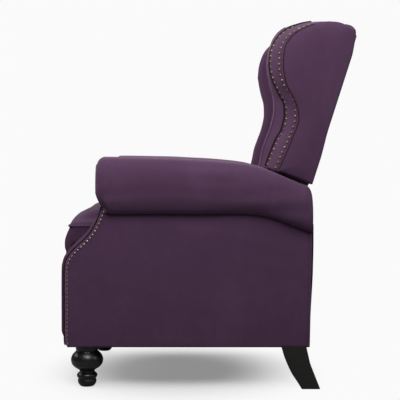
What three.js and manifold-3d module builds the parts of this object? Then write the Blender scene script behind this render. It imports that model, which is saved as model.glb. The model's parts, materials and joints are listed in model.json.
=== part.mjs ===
// Wingback push-back recliner: an upholstered base with rolled arms, turned front legs and sabre
// rear legs, a sliding seat, a back with wings that leans on two side brackets, and a footrest
// panel on steel links. Sizes are in millimetres. +X is the sitter's left, -Y is the front, +Z is
// up, and the origin lies on the floor under the middle of the chair.
import * as THREE from "three";
import { mergeVertices } from "three/addons/utils/BufferGeometryUtils.js";
import Module from "manifold-3d";

const wasm = await Module();
wasm.setup();

// Clearances
const touchGap = 0.3;
const cutOverrun = 2;
const weldTolerance = 1e-4;

// Fineness of rounds
const barSides = 16;
const turnedSides = 24;
const roundSteps = 8;
const linkEndSteps = 6;

// Widths: the chair widens with its seat frame
const seatFrameHalfWidth = 222;
const mechanismSpace = 52.4;
const frameThickness = 20;
const sidePanelThickness = 18;
const borderWidth = 54;
const seatClearance = 9;
const boardClearance = 5;
const backStandoff = 4;

// Heights: each level is set above the one that carries it
const baseBottom = 120;
const basePlateRise = 180;
const basePlateHeight = 75;
const seatRailBelowRunner = 37;
const seatRailAboveRunner = 22;
const cushionLift = 4;
const seatWeltRise = 51;
const seamRise = 38;
const rollHeight = 161;
const backRise = 383;

// Base: side frames, panels and borders
const sideFront = -398.5;
const sweepDepth = 95.5;
const sweepRise = 140;
const seamDrop = 54;
const seamBendStart = 120;
const backSpace = 100;
const baseRearDrawIn = 9;
const baseRearKneeDrop = 90;
const postWidth = 58;
const rearPostWidth = 48;
const armRailHeight = 40;
const sideBoardHeight = 225;
const crossRailThickness = 22;
const frontCrossRailHeight = 38;
const rearCrossRailHeight = 80;
const frontCrossRailSetback = 60.5;
const borderThickness = 14;
const borderEdgeRadius = 5;
const rearCoverThickness = 6.5;
const rearCoverDrop = 58;
const panelEdgeRadius = 3;

// Arm rolls
const rollInset = 18;
const rollHalfWidth = 52;
const rollTopDrop = 95;
const rollTopBend = -123;
const armOverhang = 14.5;
const armTail = 8;
const rollEndRounding = 14;
const apronGap = 3.7;
const apronThickness = 18;
const apronDepth = 40;
const apronSetback = 31;

// Legs
const frontLegInset = 46;
const frontLegSetback = 54.8;
const frontLegRadius = 45.7;
const rearLegInset = 44;
const rearLegThickness = 45;
const rearLegSetback = 81;
const rearLegReach = 109;
const rearLegEdgeRadius = 3;

// Seat frame, springs and cushion
const seatCrown = 60;
const seatOverhang = 10.5;
const seatDepth = 594;
const seatNoseDrop = 54;
const seatNoseThickness = 18.7;
const noseNotchHeight = 28;
const seatRailHeight = 51;
const seatRailThickness = 22;
const seatSideRailThickness = 24;
const seatTail = 35;
const springWire = 4;
const springCount = 4;
const springSpacing = 92;
const springWave = 60;
const springSwing = 22;
const springSteps = 6;
const springSides = 5;

// Steel mechanism
const steel = 3;
const layerGap = 0.5;
const reachLayer = 0;
const armLayer = 1;
const lowerLayer = 2;
const bracketLayer = 3;
const pinRadius = 5;
const pinClearance = 0.3;
const linkHalfWidth = 10;
const hingeAhead = 78;
const hingeRise = 37;
const basePlateTail = 21;
const basePlateLength = 393;
const runnerWidth = 34.4;
const runnerLength = 270;
const shoeSetback = 55;
const shoeLength = 205;
const shoeClearance = 12.4;
const seatSteelSetback = 33;
const seatSteelTail = 45;
const lugHalfWidth = 16;
const bushRadius = 11;

// Back bracket and drag link
const crankLength = 90;
const crankLean = THREE.MathUtils.degToRad(15);
const dragLength = 110;
const bracketHalfWidth = 16;
const bracketArmLength = 124;

// Footrest and its linkage, measured from the seat's front and the front pivot's height
const pivotBelowRunner = 10;
const frontPivotSetback = 47.47;
const rearPivotSetback = 109;
const kneeSetback = 229;
const kneeDrop = 140;
const footPivotSetback = 79;
const footPivotDrop = 75;
const lowerPivotDrop = 40;
const crossShare = 0.4;
const tailShare = 1.16085;
const boardSetback = 61;
const boardThickness = 15;
const boardGap = 9;
const boardHeight = 198;
const footPadThickness = 45;
const footPadEdge = 14;
const footBracketTopGap = 18;
const footBracketHeight = 140;
const footFlangeWidth = 19.7;

// Back and wings
const backTopRound = 55;
const backRake = THREE.MathUtils.degToRad(17.7);
const rakeReferenceAhead = 2;
const rakeReferenceDrop = 85.6;
const outsideBackThickness = 12;
const outsideBackOverlap = 7;
const outsideBackShoulderDrop = 48;
const outsideBackShoulderRise = 18;
const outsideBackLowStandoff = 14;
const backPostWidth = 26;
const backPostDepth = 24;
const backPostTail = 24;
const backTopRailHeight = 28;
const backTopRailDrop = 64;
const backBottomRailLift = 5;
const backBottomRailHeight = 60;
const cushionOverWelt = 48;
const cushionDepth = 98;
const cushionLowStandoff = 12;
const cushionStepRise = 62;
const cushionSideDip = 0.22;
const cushionSidePower = 8;
const cushionFootShare = 0.8;
const cushionRows = 30;
const tuftDepth = 26;
const tuftColumns = 4;
const tuftSteps = 6;
const tuftPower = 0.4;
const tuftPitch = 122;
const tuftRise = 90;
const wingDrop = 23;
const wingDepth = 228;
const wingFrontWidth = 73.7;
const wingRearWidth = 45.7;
const wingPanelThickness = 13;
const wingCrestInset = 8;

// Derived widths
const seatSteelInner = seatFrameHalfWidth + touchGap;
const seatSteelOuter = seatSteelInner + steel;
const basePlateInner = seatFrameHalfWidth + mechanismSpace;
const basePlateOuter = basePlateInner + steel;
const frameInner = basePlateOuter + touchGap;
const frameOuter = frameInner + frameThickness;
const sideOuter = frameOuter + touchGap + sidePanelThickness;
const borderInner = sideOuter - borderWidth;
const seatHalfWidth = borderInner - seatClearance;
const boardHalfWidth = borderInner - boardClearance;
const rollCentre = sideOuter - rollInset;
const apronInner = frameInner - apronGap - apronThickness;
const frontLegCentreX = sideOuter - frontLegInset;
const rearLegInner = sideOuter - rearLegInset;
const runnerInner = basePlateInner - runnerWidth;
const shoeOuter = basePlateInner - shoeClearance;
const layerPitch = steel + layerGap;
const layerStart = (layer) => seatSteelOuter + layerGap + layer * layerPitch;
const footBracketOuter = layerStart(bracketLayer) + footFlangeWidth;
const backPostOuter = seatFrameHalfWidth + backStandoff;
const backBracketInner = backPostOuter + touchGap;
const backBracketOuter = backBracketInner + steel;
const dragLinkInner = backBracketOuter + layerGap;
const cushionHalfWidth = backPostOuter;
const cushionLowHalfWidth = backPostOuter + cushionLowStandoff;
const wingInner = backPostOuter + touchGap;
const wingFrontOuter = wingInner + wingFrontWidth;
const wingRearOuter = wingInner + wingRearWidth;
const outsideBackHalfWidth = wingRearOuter;
const outsideBackLowHalfWidth = backPostOuter + outsideBackLowStandoff;

// Derived heights
const basePlateBottom = baseBottom + basePlateRise;
const runnerHeight = basePlateBottom + basePlateHeight;
const hingeZ = runnerHeight + hingeRise;
const seatRailBottom = runnerHeight - seatRailBelowRunner;
const seatRailTop = runnerHeight + seatRailAboveRunner;
const seatBottom = seatRailTop + cushionLift;
const seatWood = seatBottom - springWire - touchGap - touchGap;
const seatWelt = seatBottom + seatWeltRise;
const seamHeight = seatWelt + seamRise;
const sweepBottom = seamHeight - sweepRise;
const baseRearKnee = seamHeight - baseRearKneeDrop;
const rearCoverTop = seamHeight - rearCoverDrop;
const rollTop = seamHeight + rollHeight;
const backTop = rollTop + backRise;
const backPostTop = backTop - backTopRailDrop - backTopRailHeight;
const backFrameTop = backPostTop + backTopRailHeight + 2 * touchGap;
const backPostBottom = hingeZ - backPostTail;
const outsideBackBottom = rearCoverTop - outsideBackOverlap;
const backBottomRailZ = outsideBackBottom + backBottomRailLift;
const cushionBottom = seatWelt + cushionOverWelt;
const cushionStepZ = cushionBottom + cushionStepRise;
const tuftStart = cushionBottom + tuftRise;
const wingBottom = rollTop - wingDrop;
const outsideBackShoulder = wingBottom - outsideBackShoulderDrop;
const rakeReferenceZ = rollTop - rakeReferenceDrop;
const pivotZ = runnerHeight - pivotBelowRunner;
const kneeZ = pivotZ - kneeDrop;
const footPivotZ = pivotZ - footPivotDrop;
const lowerPivotZ = footPivotZ - lowerPivotDrop;
const boardTop = seatBottom - seatNoseDrop - boardGap;
const boardBottom = boardTop - boardHeight;
const footBracketTop = boardTop - footBracketTopGap;
const footBracketBottom = footBracketTop - footBracketHeight;

// Derived depths
const seatFront = sideFront - seatOverhang;
const seatRear = seatFront + seatDepth;
const baseRear = seatRear + backSpace;
const baseRearFoot = baseRear - baseRearDrawIn;
const armFront = sideFront + sweepDepth - armOverhang;
const armRear = baseRear + armTail;
const apronRear = armRear - apronSetback;
const frontLegCentreY = sideFront + frontLegSetback;
const rearLegTopFront = baseRear - rearLegSetback;
const seatRearRailY = seatRear - seatTail;
const seatRailFront = seatFront + seatSteelSetback;
const seatRailRear = seatRear - seatSteelTail;
const hingeY = baseRear - hingeAhead;
const crankY = hingeY + crankLength * Math.sin(crankLean);
const crankZ = hingeZ - crankLength * Math.cos(crankLean);
const basePlateRear = hingeY + basePlateTail;
const basePlateFront = basePlateRear - basePlateLength;
const shoeFront = basePlateFront + shoeSetback;
const rakeReferenceY = baseRear - rakeReferenceAhead;
const frontPivotY = seatFront + frontPivotSetback;
const rearPivotY = seatFront + rearPivotSetback;
const kneeY = seatFront + kneeSetback;
const footPivotY = seatFront + footPivotSetback;
const boardRear = seatFront + boardSetback;

// Outlines, as shares of the sizes that they follow
const sweepShares = [[0, 0], [0.06, 0.085], [0.2, 0.2], [0.43, 0.35], [0.75, 0.61], [0.91, 0.82], [1, 1]];
const seamShares = [[0, 0], [0.29, 0.17], [0.54, 0.44], [0.74, 0.67], [0.89, 0.86], [1, 1]];
const rollTopShares = [
  [0, 0], [0.14, 0.06], [0.6, 0.22], [0.71, 0.38], [0.83, 0.62], [0.96, 0.87], [1, 1],
];
const rollFrontShares = [[0, 0.88], [0.35, 0.965], [1, 1]];
const rollRearShares = [[1, 1], [0.3, 0.98], [0, 0.92]];
const rollSectionShares = [
  [0.7, 0.06], [0.93, 0.22], [1, 0.42], [0.97, 0.62], [0.85, 0.8], [0.6, 0.94], [0.3, 0.99],
  [0, 1], [-0.35, 0.985], [-0.68, 0.92], [-0.9, 0.78], [-1, 0.6], [-0.96, 0.42], [-0.87, 0.28],
];
const frontLegShares = [
  [0, 1], [0.7, 1], [0.7, 0.85], [0.66, 0.84], [0.68, 0.82], [0.87, 0.76], [0.98, 0.69],
  [1, 0.63], [0.96, 0.55], [0.8, 0.46], [0.55, 0.4], [0.46, 0.37], [0.48, 0.32], [0.6, 0.28],
  [0.63, 0.25], [0.6, 0.21], [0.54, 0.18], [0.57, 0.14], [0.55, 0.08], [0.38, 0], [0, 0],
];
const rearLegFrontShares = [
  [0, 1], [0.04, 0.865], [0.09, 0.71], [0.17, 0.535], [0.275, 0.345], [0.4, 0.165], [0.52, 0],
];
const rearLegBackShares = [
  [1, 0], [0.915, 0.19], [0.82, 0.4], [0.74, 0.59], [0.69, 0.78], [0.645, 1],
];
const wingCrestShares = [
  [0.652, 0], [0.668, 0.12], [0.661, 0.25], [0.678, 0.37], [0.727, 0.46], [0.814, 0.55],
  [0.902, 0.64], [0.959, 0.73], [1, 0.83], [0.965, 0.89], [0.827, 0.94], [0.617, 0.978],
  [0.44, 0.996], [0.22, 1],
];
const wingCrestFootShares = [[0, -0.15], [0.07, -0.13], [0.3, -0.076], [0.53, -0.025]];
const wingCrestRearShares = [1, 0.85, 0.65, 0.35, 0];
const wingPanelShares = [
  [0.375, -0.055], [0.352, 0.12], [0.334, 0.25], [0.362, 0.36], [0.442, 0.44], [0.578, 0.525],
  [0.705, 0.63], [0.771, 0.72], [0.794, 0.82], [0.753, 0.874], [0.642, 0.916], [0.489, 0.946],
  [0.343, 0.963], [0.17, 0.974],
];
const wingPanelFootShares = [[0, -0.15], [0.07, -0.13], [0.2, -0.1], [0.3, -0.074]];
const wingPanelRearShares = [0.84, 0.75, 0.65, 0.35, 0];
const wingCrestRingShares = [[0, 1], [1, 0], [2, 0.04]];
const wingPanelRingShares = [[1, 0], [0.3, 0], [0, 1]];
const topRoundShares = [[0, 0], [0.35, 0.12], [0.65, 0.42], [0.85, 0.72], [1, 1]];
const outsideBackWidthShares = [[0, 1], [0.35, 0.995], [0.65, 0.965], [0.81, 0.9]];
const cushionRollShares = [[0.35, 0.98], [0.65, 0.93], [0.85, 0.86], [1, 0.68]];
const footPadSwellShares = [
  [-1, 0.55], [-0.97, 0.85], [-0.8, 0.96], [0, 1], [0.8, 0.96], [0.97, 0.85], [1, 0.55],
];
const footPadEdgeShares = [[1, 0], [0.3, 0.4], [0, 1.6]];
const seatTopShares = [
  [1, 0.3], [0.985, 0.62], [0.92, 0.76], [0.7, 0.9], [0.45, 0.985], [0.22, 0.97], [0.1, 0.78],
  [0.045, 0.46], [0.017, 0.06],
];
const seatNoseShares = [[0.012, 0.28], [0, 0.66], [0.1, 0.9], [0.35, 1]];
const seatStationShares = [
  [-1, 0], [-0.96, 0.34], [-0.85, 0.62], [-0.6, 0.86], [-0.3, 0.97], [0, 1], [0.3, 0.97],
  [0.6, 0.86], [0.85, 0.62], [0.96, 0.34], [1, 0],
];

// Materials
function finish(color, roughness, metalness) {
  return new THREE.MeshStandardMaterial({ color, roughness, metalness });
}
const fabricLook = ["#4a3048", 0.9, 0];
const timberLook = ["#c9a574", 0.7, 0];
const turnedWoodLook = ["#17140f", 0.25, 0];
const sawnWoodLook = ["#17140f", 0.35, 0];
const steelLook = ["#3c3d3f", 0.4, 0.9];

// The value at place t of a table of [place, value] shares, joined by straight lines.
function alongShares(shares, t) {
  const last = shares[shares.length - 1];
  if (t <= shares[0][0]) {
    return shares[0][1];
  }
  if (t >= last[0]) {
    return last[1];
  }
  const i = shares.findIndex((share) => share[0] > t);
  const [t0, v0] = shares[i - 1];
  const [t1, v1] = shares[i];
  return v0 + ((v1 - v0) * (t - t0)) / (t1 - t0);
}

// Height of the seam between the arm roll and the side panel at place y.
function seamZ(y) {
  return seamHeight - seamDrop * alongShares(seamShares, (y - seamBendStart) / (armRear - seamBendStart));
}

// Height of the top of the arm roll at place y.
function rollTopZ(y) {
  return rollTop - rollTopDrop * alongShares(rollTopShares, (y - rollTopBend) / (armRear - rollTopBend));
}

// Height at a share of the round at the top of the back.
function roundZ(share) {
  return backFrameTop + (backTop - backFrameTop) * share;
}

// Rear face of the chair's back at height z: a straight rake with a round at the top.
function backRearY(z) {
  const round = alongShares(topRoundShares, (z - backFrameTop) / (backTop - backFrameTop));
  return rakeReferenceY + (z - rakeReferenceZ) * Math.tan(backRake) - backTopRound * round;
}

// Front edge of the side panel, from the seam down to the foot of the base.
function sweepPoints(offset) {
  const points = sweepShares.map(([forward, up]) => new THREE.Vector2(
    sideFront + sweepDepth * forward + offset,
    sweepBottom + (seamHeight - sweepBottom) * up,
  ));
  return [new THREE.Vector2(sideFront + offset, baseBottom), ...points];
}

// Turns a closed geometry's faces outwards.
function facingOut(geometry) {
  const place = geometry.getAttribute("position");
  const index = geometry.index.array;
  const [a, b, c] = [new THREE.Vector3(), new THREE.Vector3(), new THREE.Vector3()];
  let volume = 0;
  for (let i = 0; i < index.length; i += 3) {
    a.fromBufferAttribute(place, index[i]);
    b.fromBufferAttribute(place, index[i + 1]);
    c.fromBufferAttribute(place, index[i + 2]);
    volume += a.dot(b.cross(c));
  }
  if (volume < 0) {
    for (let i = 0; i < index.length; i += 3) {
      [index[i + 1], index[i + 2]] = [index[i + 2], index[i + 1]];
    }
  }
  return geometry;
}

// A closed skin through rings of equally many points, with flat ends. flatten gives the plane
// coordinates of a ring's point.
function loft(rings, flatten) {
  const count = rings[0].length;
  const last = (rings.length - 1) * count;
  const faces = [];
  for (let r = 0; r < rings.length - 1; r += 1) {
    for (let i = 0; i < count; i += 1) {
      const a = r * count + i;
      const b = r * count + ((i + 1) % count);
      faces.push(a, b, b + count, a, b + count, a + count);
    }
  }
  const ends = [[rings[0], 0, false], [rings[rings.length - 1], last, true]];
  for (const [ring, start, isLast] of ends) {
    const contour = ring.map(flatten);
    const isTurned = THREE.ShapeUtils.area(contour) > 0 === isLast;
    for (const [a, b, c] of THREE.ShapeUtils.triangulateShape(contour, [])) {
      faces.push(start + a, start + (isTurned ? b : c), start + (isTurned ? c : b));
    }
  }
  const geometry = new THREE.BufferGeometry();
  const places = rings.flat().flatMap((p) => [p.x, p.y, p.z]);
  geometry.setAttribute("position", new THREE.Float32BufferAttribute(places, 3));
  geometry.setIndex(faces);
  return facingOut(geometry);
}
const flattenYZ = (p) => new THREE.Vector2(p.y, p.z);
const flattenXZ = (p) => new THREE.Vector2(p.x, p.z);
const flattenXY = (p) => new THREE.Vector2(p.x, p.y);

// A side-view outline of (y, z) points, extruded across the chair from x0 to x1.
function sideBoard(points, x0, x1, edge = 0, holes = []) {
  const shape = new THREE.Shape(points);
  for (const [y, z, radius] of holes) {
    shape.holes.push(new THREE.Path().absarc(y, z, radius, 0, Math.PI * 2, true));
  }
  const geometry = new THREE.ExtrudeGeometry(shape, {
    depth: x1 - x0 - 2 * edge,
    bevelEnabled: edge > 0,
    bevelThickness: edge,
    bevelSize: edge,
    bevelOffset: -edge,
    bevelSegments: 2,
    curveSegments: roundSteps,
  });
  const axes = new THREE.Matrix4().makeBasis(
    new THREE.Vector3(0, 1, 0),
    new THREE.Vector3(0, 0, 1),
    new THREE.Vector3(1, 0, 0),
  );
  return geometry.applyMatrix4(axes).translate(x0 + edge, 0, 0);
}

// A box between two opposite corners.
function slab(x0, x1, y0, y1, z0, z1) {
  const box = new THREE.BoxGeometry(x1 - x0, y1 - y0, z1 - z0);
  return box.translate((x0 + x1) / 2, (y0 + y1) / 2, (z0 + z1) / 2);
}

// A round bar along X.
function barAcross(y, z, radius, x0, x1) {
  const bar = new THREE.CylinderGeometry(radius, radius, x1 - x0, barSides);
  return bar.rotateZ(Math.PI / 2).translate((x0 + x1) / 2, y, z);
}

// The manifold solid of a closed geometry, and the geometry of a solid.
function solidOf(geometry) {
  const bare = geometry.clone();
  bare.deleteAttribute("normal");
  bare.deleteAttribute("uv");
  const merged = mergeVertices(bare, weldTolerance);
  return new wasm.Manifold(new wasm.Mesh({
    numProp: 3,
    vertProperties: new Float32Array(merged.getAttribute("position").array),
    triVerts: new Uint32Array(merged.index.array),
  }));
}
function geometryOf(solid) {
  const mesh = solid.getMesh();
  const geometry = new THREE.BufferGeometry();
  geometry.setAttribute("position", new THREE.BufferAttribute(mesh.vertProperties, 3));
  geometry.setIndex(new THREE.BufferAttribute(mesh.triVerts, 1));
  return geometry;
}
function joined(...geometries) {
  return geometryOf(geometries.map(solidOf).reduce((sum, solid) => sum.add(solid)));
}

// A flat steel link with round ends between two (y, z) pivots, with holes given as pivots.
function link(from, to, layerX, holes, halfWidth = linkHalfWidth) {
  const angle = Math.atan2(to[1] - from[1], to[0] - from[0]);
  const outline = new THREE.Path();
  outline.absarc(from[0], from[1], halfWidth, angle + Math.PI / 2, angle + (3 * Math.PI) / 2, false);
  outline.absarc(to[0], to[1], halfWidth, angle - Math.PI / 2, angle + Math.PI / 2, false);
  const cuts = holes.map(([y, z]) => [y, z, pinRadius + pinClearance]);
  return sideBoard(outline.getPoints(linkEndSteps), layerX, layerX + steel, 0, cuts);
}

// The group holds the left side's pieces in one group and their mirror images in another.
const chair = new THREE.Group();
const leftSide = new THREE.Group();
const rightSide = new THREE.Group();
rightSide.scale.x = -1;
chair.add(leftSide, rightSide);

function piece(name, geometry, look) {
  const mesh = new THREE.Mesh(geometry, finish(...look));
  mesh.name = name;
  chair.add(mesh);
}
function pair(name, geometry, look) {
  for (const [side, group] of [["left", leftSide], ["right", rightSide]]) {
    const mesh = new THREE.Mesh(geometry, finish(...look));
    mesh.name = `${name}_${side}`;
    group.add(mesh);
  }
}
const fabricPair = (name, geometry) => pair(name, geometry, fabricLook);
const timberPair = (name, geometry) => pair(name, geometry, timberLook);
const steelPair = (name, geometry) => pair(name, geometry, steelLook);

// Rear edge of the base at height z, which draws in towards the floor.
function baseRearY(z) {
  const rise = (Math.min(z, baseRearKnee) - baseBottom) / (baseRearKnee - baseBottom);
  return baseRearFoot + (baseRear - baseRearFoot) * rise;
}

// The places along Y where the seam changes direction, from front to rear.
function seamStops(front, rear) {
  const stops = seamShares.map(([share]) => seamBendStart + (armRear - seamBendStart) * share);
  return [front, ...stops.filter((y) => y > front && y < rear), rear];
}

// Front post: plywood sawn to the sweep of the arm front.
function frontPost() {
  const front = sweepPoints(0);
  const rear = sweepPoints(postWidth).reverse();
  const outline = [...front, ...rear].map(
    (p) => new THREE.Vector2(p.x, THREE.MathUtils.clamp(p.y, baseBottom, seamHeight - touchGap)),
  );
  return sideBoard(outline, frameInner, frameOuter);
}

// Rear post, under the rear end of the arm rail.
function rearPost() {
  const rear = baseRearFoot - touchGap;
  const front = rear - rearPostWidth;
  const top = (y) => seamZ(y) - armRailHeight - 2 * touchGap;
  const outline = [[front, baseBottom], [rear, baseBottom], [rear, top(rear)], [front, top(front)]];
  return sideBoard(outline.map(([y, z]) => new THREE.Vector2(y, z)), frameInner, frameOuter);
}

// Arm rail, sawn to the line of the seam above it.
function armRail() {
  const front = sideFront + sweepDepth + postWidth + touchGap;
  const stops = seamStops(front, baseRearFoot - touchGap);
  const top = stops.map((y) => new THREE.Vector2(y, seamZ(y) - touchGap));
  const bottom = stops.map((y) => new THREE.Vector2(y, seamZ(y) - armRailHeight)).reverse();
  return sideBoard([...top, ...bottom], frameInner, frameOuter);
}

// Side board between the posts, which carries the mechanism.
function lowerSideBoard() {
  const front = sideFront + postWidth + touchGap;
  const rear = baseRearFoot - rearPostWidth - 2 * touchGap;
  return slab(frameInner, frameOuter, front, rear, baseBottom, baseBottom + sideBoardHeight);
}

// Upholstered outer side panel: sweep in front, seam on top, drawn in at the foot of the rear.
function sidePanel() {
  const front = sweepPoints(0).map((p) => new THREE.Vector2(p.x, Math.min(p.y, seamHeight - touchGap)));
  const stops = seamStops(sideFront + sweepDepth + postWidth, baseRear - touchGap);
  const top = stops.map((y) => new THREE.Vector2(y, seamZ(y) - touchGap));
  const rear = [baseRearKnee, baseBottom].map((z) => new THREE.Vector2(baseRearY(z) - touchGap, z));
  const outline = [...front, ...top, ...rear];
  return sideBoard(outline, frameOuter + touchGap, sideOuter, panelEdgeRadius);
}

// Padded border that covers the front post and follows its sweep.
function frontBorder() {
  const inner = sweepPoints(-touchGap);
  const outer = inner.map((p, i) => {
    const before = inner[Math.max(i - 1, 0)];
    const after = inner[Math.min(i + 1, inner.length - 1)];
    const along = after.clone().sub(before).normalize();
    return new THREE.Vector2(p.x - along.y * borderThickness, p.y + along.x * borderThickness);
  });
  const top = seamHeight - 2 * touchGap;
  const bounded = (p) => new THREE.Vector2(p.x, THREE.MathUtils.clamp(p.y, baseBottom, top));
  const outline = [...inner, ...outer.reverse()].map(bounded);
  return sideBoard(outline, borderInner, sideOuter, borderEdgeRadius);
}

// Arm roll with the apron that covers the inner face of the arm.
function armRoll() {
  const topStops = rollTopShares.map(([share]) => rollTopBend + (armRear - rollTopBend) * share);
  const seamBends = seamShares.map(([share]) => seamBendStart + (armRear - seamBendStart) * share);
  const rear = armRear - rollEndRounding;
  const apronFront = sideFront + sweepDepth + touchGap;
  const apronEnds = [apronFront, apronFront + touchGap, apronRear, apronRear + touchGap];
  const stops = [...topStops, ...seamBends, ...apronEnds];
  const middle = stops.filter((y) => y < rear).sort((a, b) => a - b);
  const stations = [
    ...rollFrontShares.map(([inward, scale]) => [armFront + rollEndRounding * inward, scale]),
    ...middle.map((y) => [y, 1]),
    ...rollRearShares.map(([inward, scale]) => [armRear - rollEndRounding * inward, scale]),
  ];
  const rings = stations.map(([y, scale]) => {
    const [top, seam] = [rollTopZ(y), seamZ(y)];
    const hasApron = y > apronFront && y <= apronRear;
    const hem = seam - (hasApron ? apronDepth : touchGap);
    const middleZ = (top + seam) / 2;
    const roll = rollSectionShares.map(([x, z]) => [
      rollCentre + x * rollHalfWidth * scale,
      middleZ + (seam + z * (top - seam) - middleZ) * scale,
    ]);
    const outline = [
      [sideOuter, seam],
      ...roll,
      [apronInner, seam],
      [apronInner, hem],
      [apronInner + apronThickness, hem],
      [apronInner + apronThickness, seam],
    ];
    return outline.map(([x, z]) => new THREE.Vector3(x, y, z));
  });
  return loft(rings, flattenXZ);
}

// Turned front leg: collar, bulb, neck, ring and foot.
function frontLeg() {
  const height = baseBottom - touchGap;
  const profile = frontLegShares.map(([r, z]) => new THREE.Vector2(r * frontLegRadius, z * height));
  const leg = new THREE.LatheGeometry(profile.reverse(), turnedSides);
  return leg.rotateX(Math.PI / 2).translate(frontLegCentreX, frontLegCentreY, 0);
}

// Sabre rear leg: both edges sweep back to the foot.
function rearLeg() {
  const height = baseBottom - touchGap;
  const outline = [...rearLegFrontShares, ...rearLegBackShares].map(
    ([back, up]) => new THREE.Vector2(rearLegTopFront + rearLegReach * back, height * up),
  );
  return sideBoard(outline, rearLegInner, rearLegInner + rearLegThickness, rearLegEdgeRadius);
}

// Steel base plate: mounting plate, inward runner for the seat, and the bush and pin of the hinge.
function basePlate() {
  const plate = slab(
    basePlateInner, basePlateOuter, basePlateFront, basePlateRear, basePlateBottom, runnerHeight,
  );
  const middle = (basePlateBottom + runnerHeight) / 2;
  const tower = link([hingeY, hingeZ], [hingeY, middle], basePlateInner, [], lugHalfWidth);
  const runner = slab(
    runnerInner, basePlateOuter, basePlateFront, basePlateFront + runnerLength,
    runnerHeight - steel, runnerHeight,
  );
  const bush = barAcross(hingeY, hingeZ, bushRadius, backBracketOuter + layerGap, basePlateOuter);
  const pin = barAcross(hingeY, hingeZ, pinRadius, backBracketInner, basePlateOuter);
  return joined(plate, tower, runner, bush, pin);
}

// Steel seat rail: web with a lug for the drag link, outward shoe on the runner, and link pins.
function seatSteelRail() {
  const web = slab(
    seatSteelInner, seatSteelOuter, seatRailFront, seatRailRear, seatRailBottom, seatRailTop,
  );
  const dragY = crankY - dragLength;
  const middle = (seatRailBottom + seatRailTop) / 2;
  const lug = link([dragY, crankZ], [dragY, middle], seatSteelInner, [], lugHalfWidth);
  const shoeBottom = runnerHeight + touchGap;
  const shoe = slab(
    seatSteelInner, shoeOuter, shoeFront, shoeFront + shoeLength, shoeBottom, shoeBottom + steel,
  );
  const armsOuter = layerStart(armLayer) + steel;
  const pins = [rearPivotY, frontPivotY].map(
    (y) => barAcross(y, pivotZ, pinRadius, seatSteelInner, armsOuter),
  );
  const dragPin = barAcross(dragY, crankZ, pinRadius, seatSteelInner, dragLinkInner - touchGap);
  return joined(web, lug, shoe, ...pins, dragPin);
}

// Back bracket: a crank below the hinge and an arm up the back post.
function backBracket() {
  const reachZ = hingeZ + bracketArmLength;
  const postCentre = outsideBackThickness + touchGap + backPostDepth / 2;
  const reach = [backRearY(reachZ) - postCentre, reachZ];
  const hinge = [hingeY, hingeZ];
  const crank = [crankY, crankZ];
  const plates = joined(
    link(hinge, crank, backBracketInner, [], bracketHalfWidth),
    link(hinge, reach, backBracketInner, [], linkHalfWidth),
  );
  const hole = barAcross(
    hingeY, hingeZ, pinRadius + pinClearance, backBracketInner - cutOverrun, backBracketOuter + cutOverrun,
  );
  const pin = barAcross(crankY, crankZ, pinRadius, backBracketInner, dragLinkInner + steel);
  return geometryOf(solidOf(plates).subtract(solidOf(hole)).add(solidOf(pin)));
}

// Footrest links. The cross point and the tail pivot lie along the front link.
const rearPivot = [rearPivotY, pivotZ];
const frontPivot = [frontPivotY, pivotZ];
const knee = [kneeY, kneeZ];
const footPivot = [footPivotY, footPivotZ];
const lowerPivot = [footPivotY, lowerPivotZ];
const between = (p, q, share) => [p[0] + (q[0] - p[0]) * share, p[1] + (q[1] - p[1]) * share];
const crossPoint = between(knee, footPivot, crossShare);
const tailPivot = between(frontPivot, crossPoint, tailShare);

function rearLink() {
  const x = layerStart(armLayer);
  const arm = link(rearPivot, knee, x, [rearPivot]);
  return joined(arm, barAcross(knee[0], knee[1], pinRadius, layerStart(reachLayer), x + steel));
}
function reachLink() {
  const x = layerStart(reachLayer);
  const arm = link(knee, footPivot, x, [knee]);
  const pinEnd = layerStart(bracketLayer) + steel;
  return joined(arm, barAcross(footPivot[0], footPivot[1], pinRadius, x, pinEnd));
}
function frontLink() {
  const x = layerStart(armLayer);
  const arm = link(frontPivot, tailPivot, x, [frontPivot]);
  return joined(arm, barAcross(tailPivot[0], tailPivot[1], pinRadius, x, layerStart(lowerLayer) + steel));
}
function lowerLink() {
  return link(tailPivot, lowerPivot, layerStart(lowerLayer), [tailPivot]);
}
function dragLink() {
  return link([crankY, crankZ], [crankY - dragLength, crankZ], dragLinkInner, [[crankY, crankZ]]);
}

// Footrest bracket: a plate with the two pivots and a flange on the board.
function footBracket() {
  const x = layerStart(bracketLayer);
  const flangeRear = boardRear + touchGap + steel;
  const ear = joined(
    link(footPivot, lowerPivot, x, []),
    slab(x, x + steel, boardRear + touchGap, footPivotY, lowerPivotZ, footPivotZ),
  );
  const flange = slab(
    x, footBracketOuter, boardRear + touchGap, flangeRear, footBracketBottom, footBracketTop,
  );
  const holeRadius = pinRadius + pinClearance;
  const hole = barAcross(footPivotY, footPivotZ, holeRadius, x - cutOverrun, x + steel + cutOverrun);
  return geometryOf(solidOf(joined(ear, flange)).subtract(solidOf(hole)));
}

// Footrest pad: crowned in front, rounded at its edges, flat on its board.
function footPad() {
  const rear = boardRear - boardThickness - touchGap;
  const rings = footPadSwellShares.map(([across, swell]) => {
    const face = rear - footPadThickness * swell;
    const lower = footPadEdgeShares.map(([back, up]) => [
      face + footPadEdge * back,
      boardBottom + footPadEdge * up,
    ]);
    const upper = lower.map(([y, z]) => [y, boardBottom + boardTop - z]).reverse();
    const outline = [[rear, boardBottom], ...lower, ...upper, [rear, boardTop]];
    return outline.map(([y, z]) => new THREE.Vector3(across * boardHalfWidth, y, z));
  });
  return loft(rings, flattenYZ);
}

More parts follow.
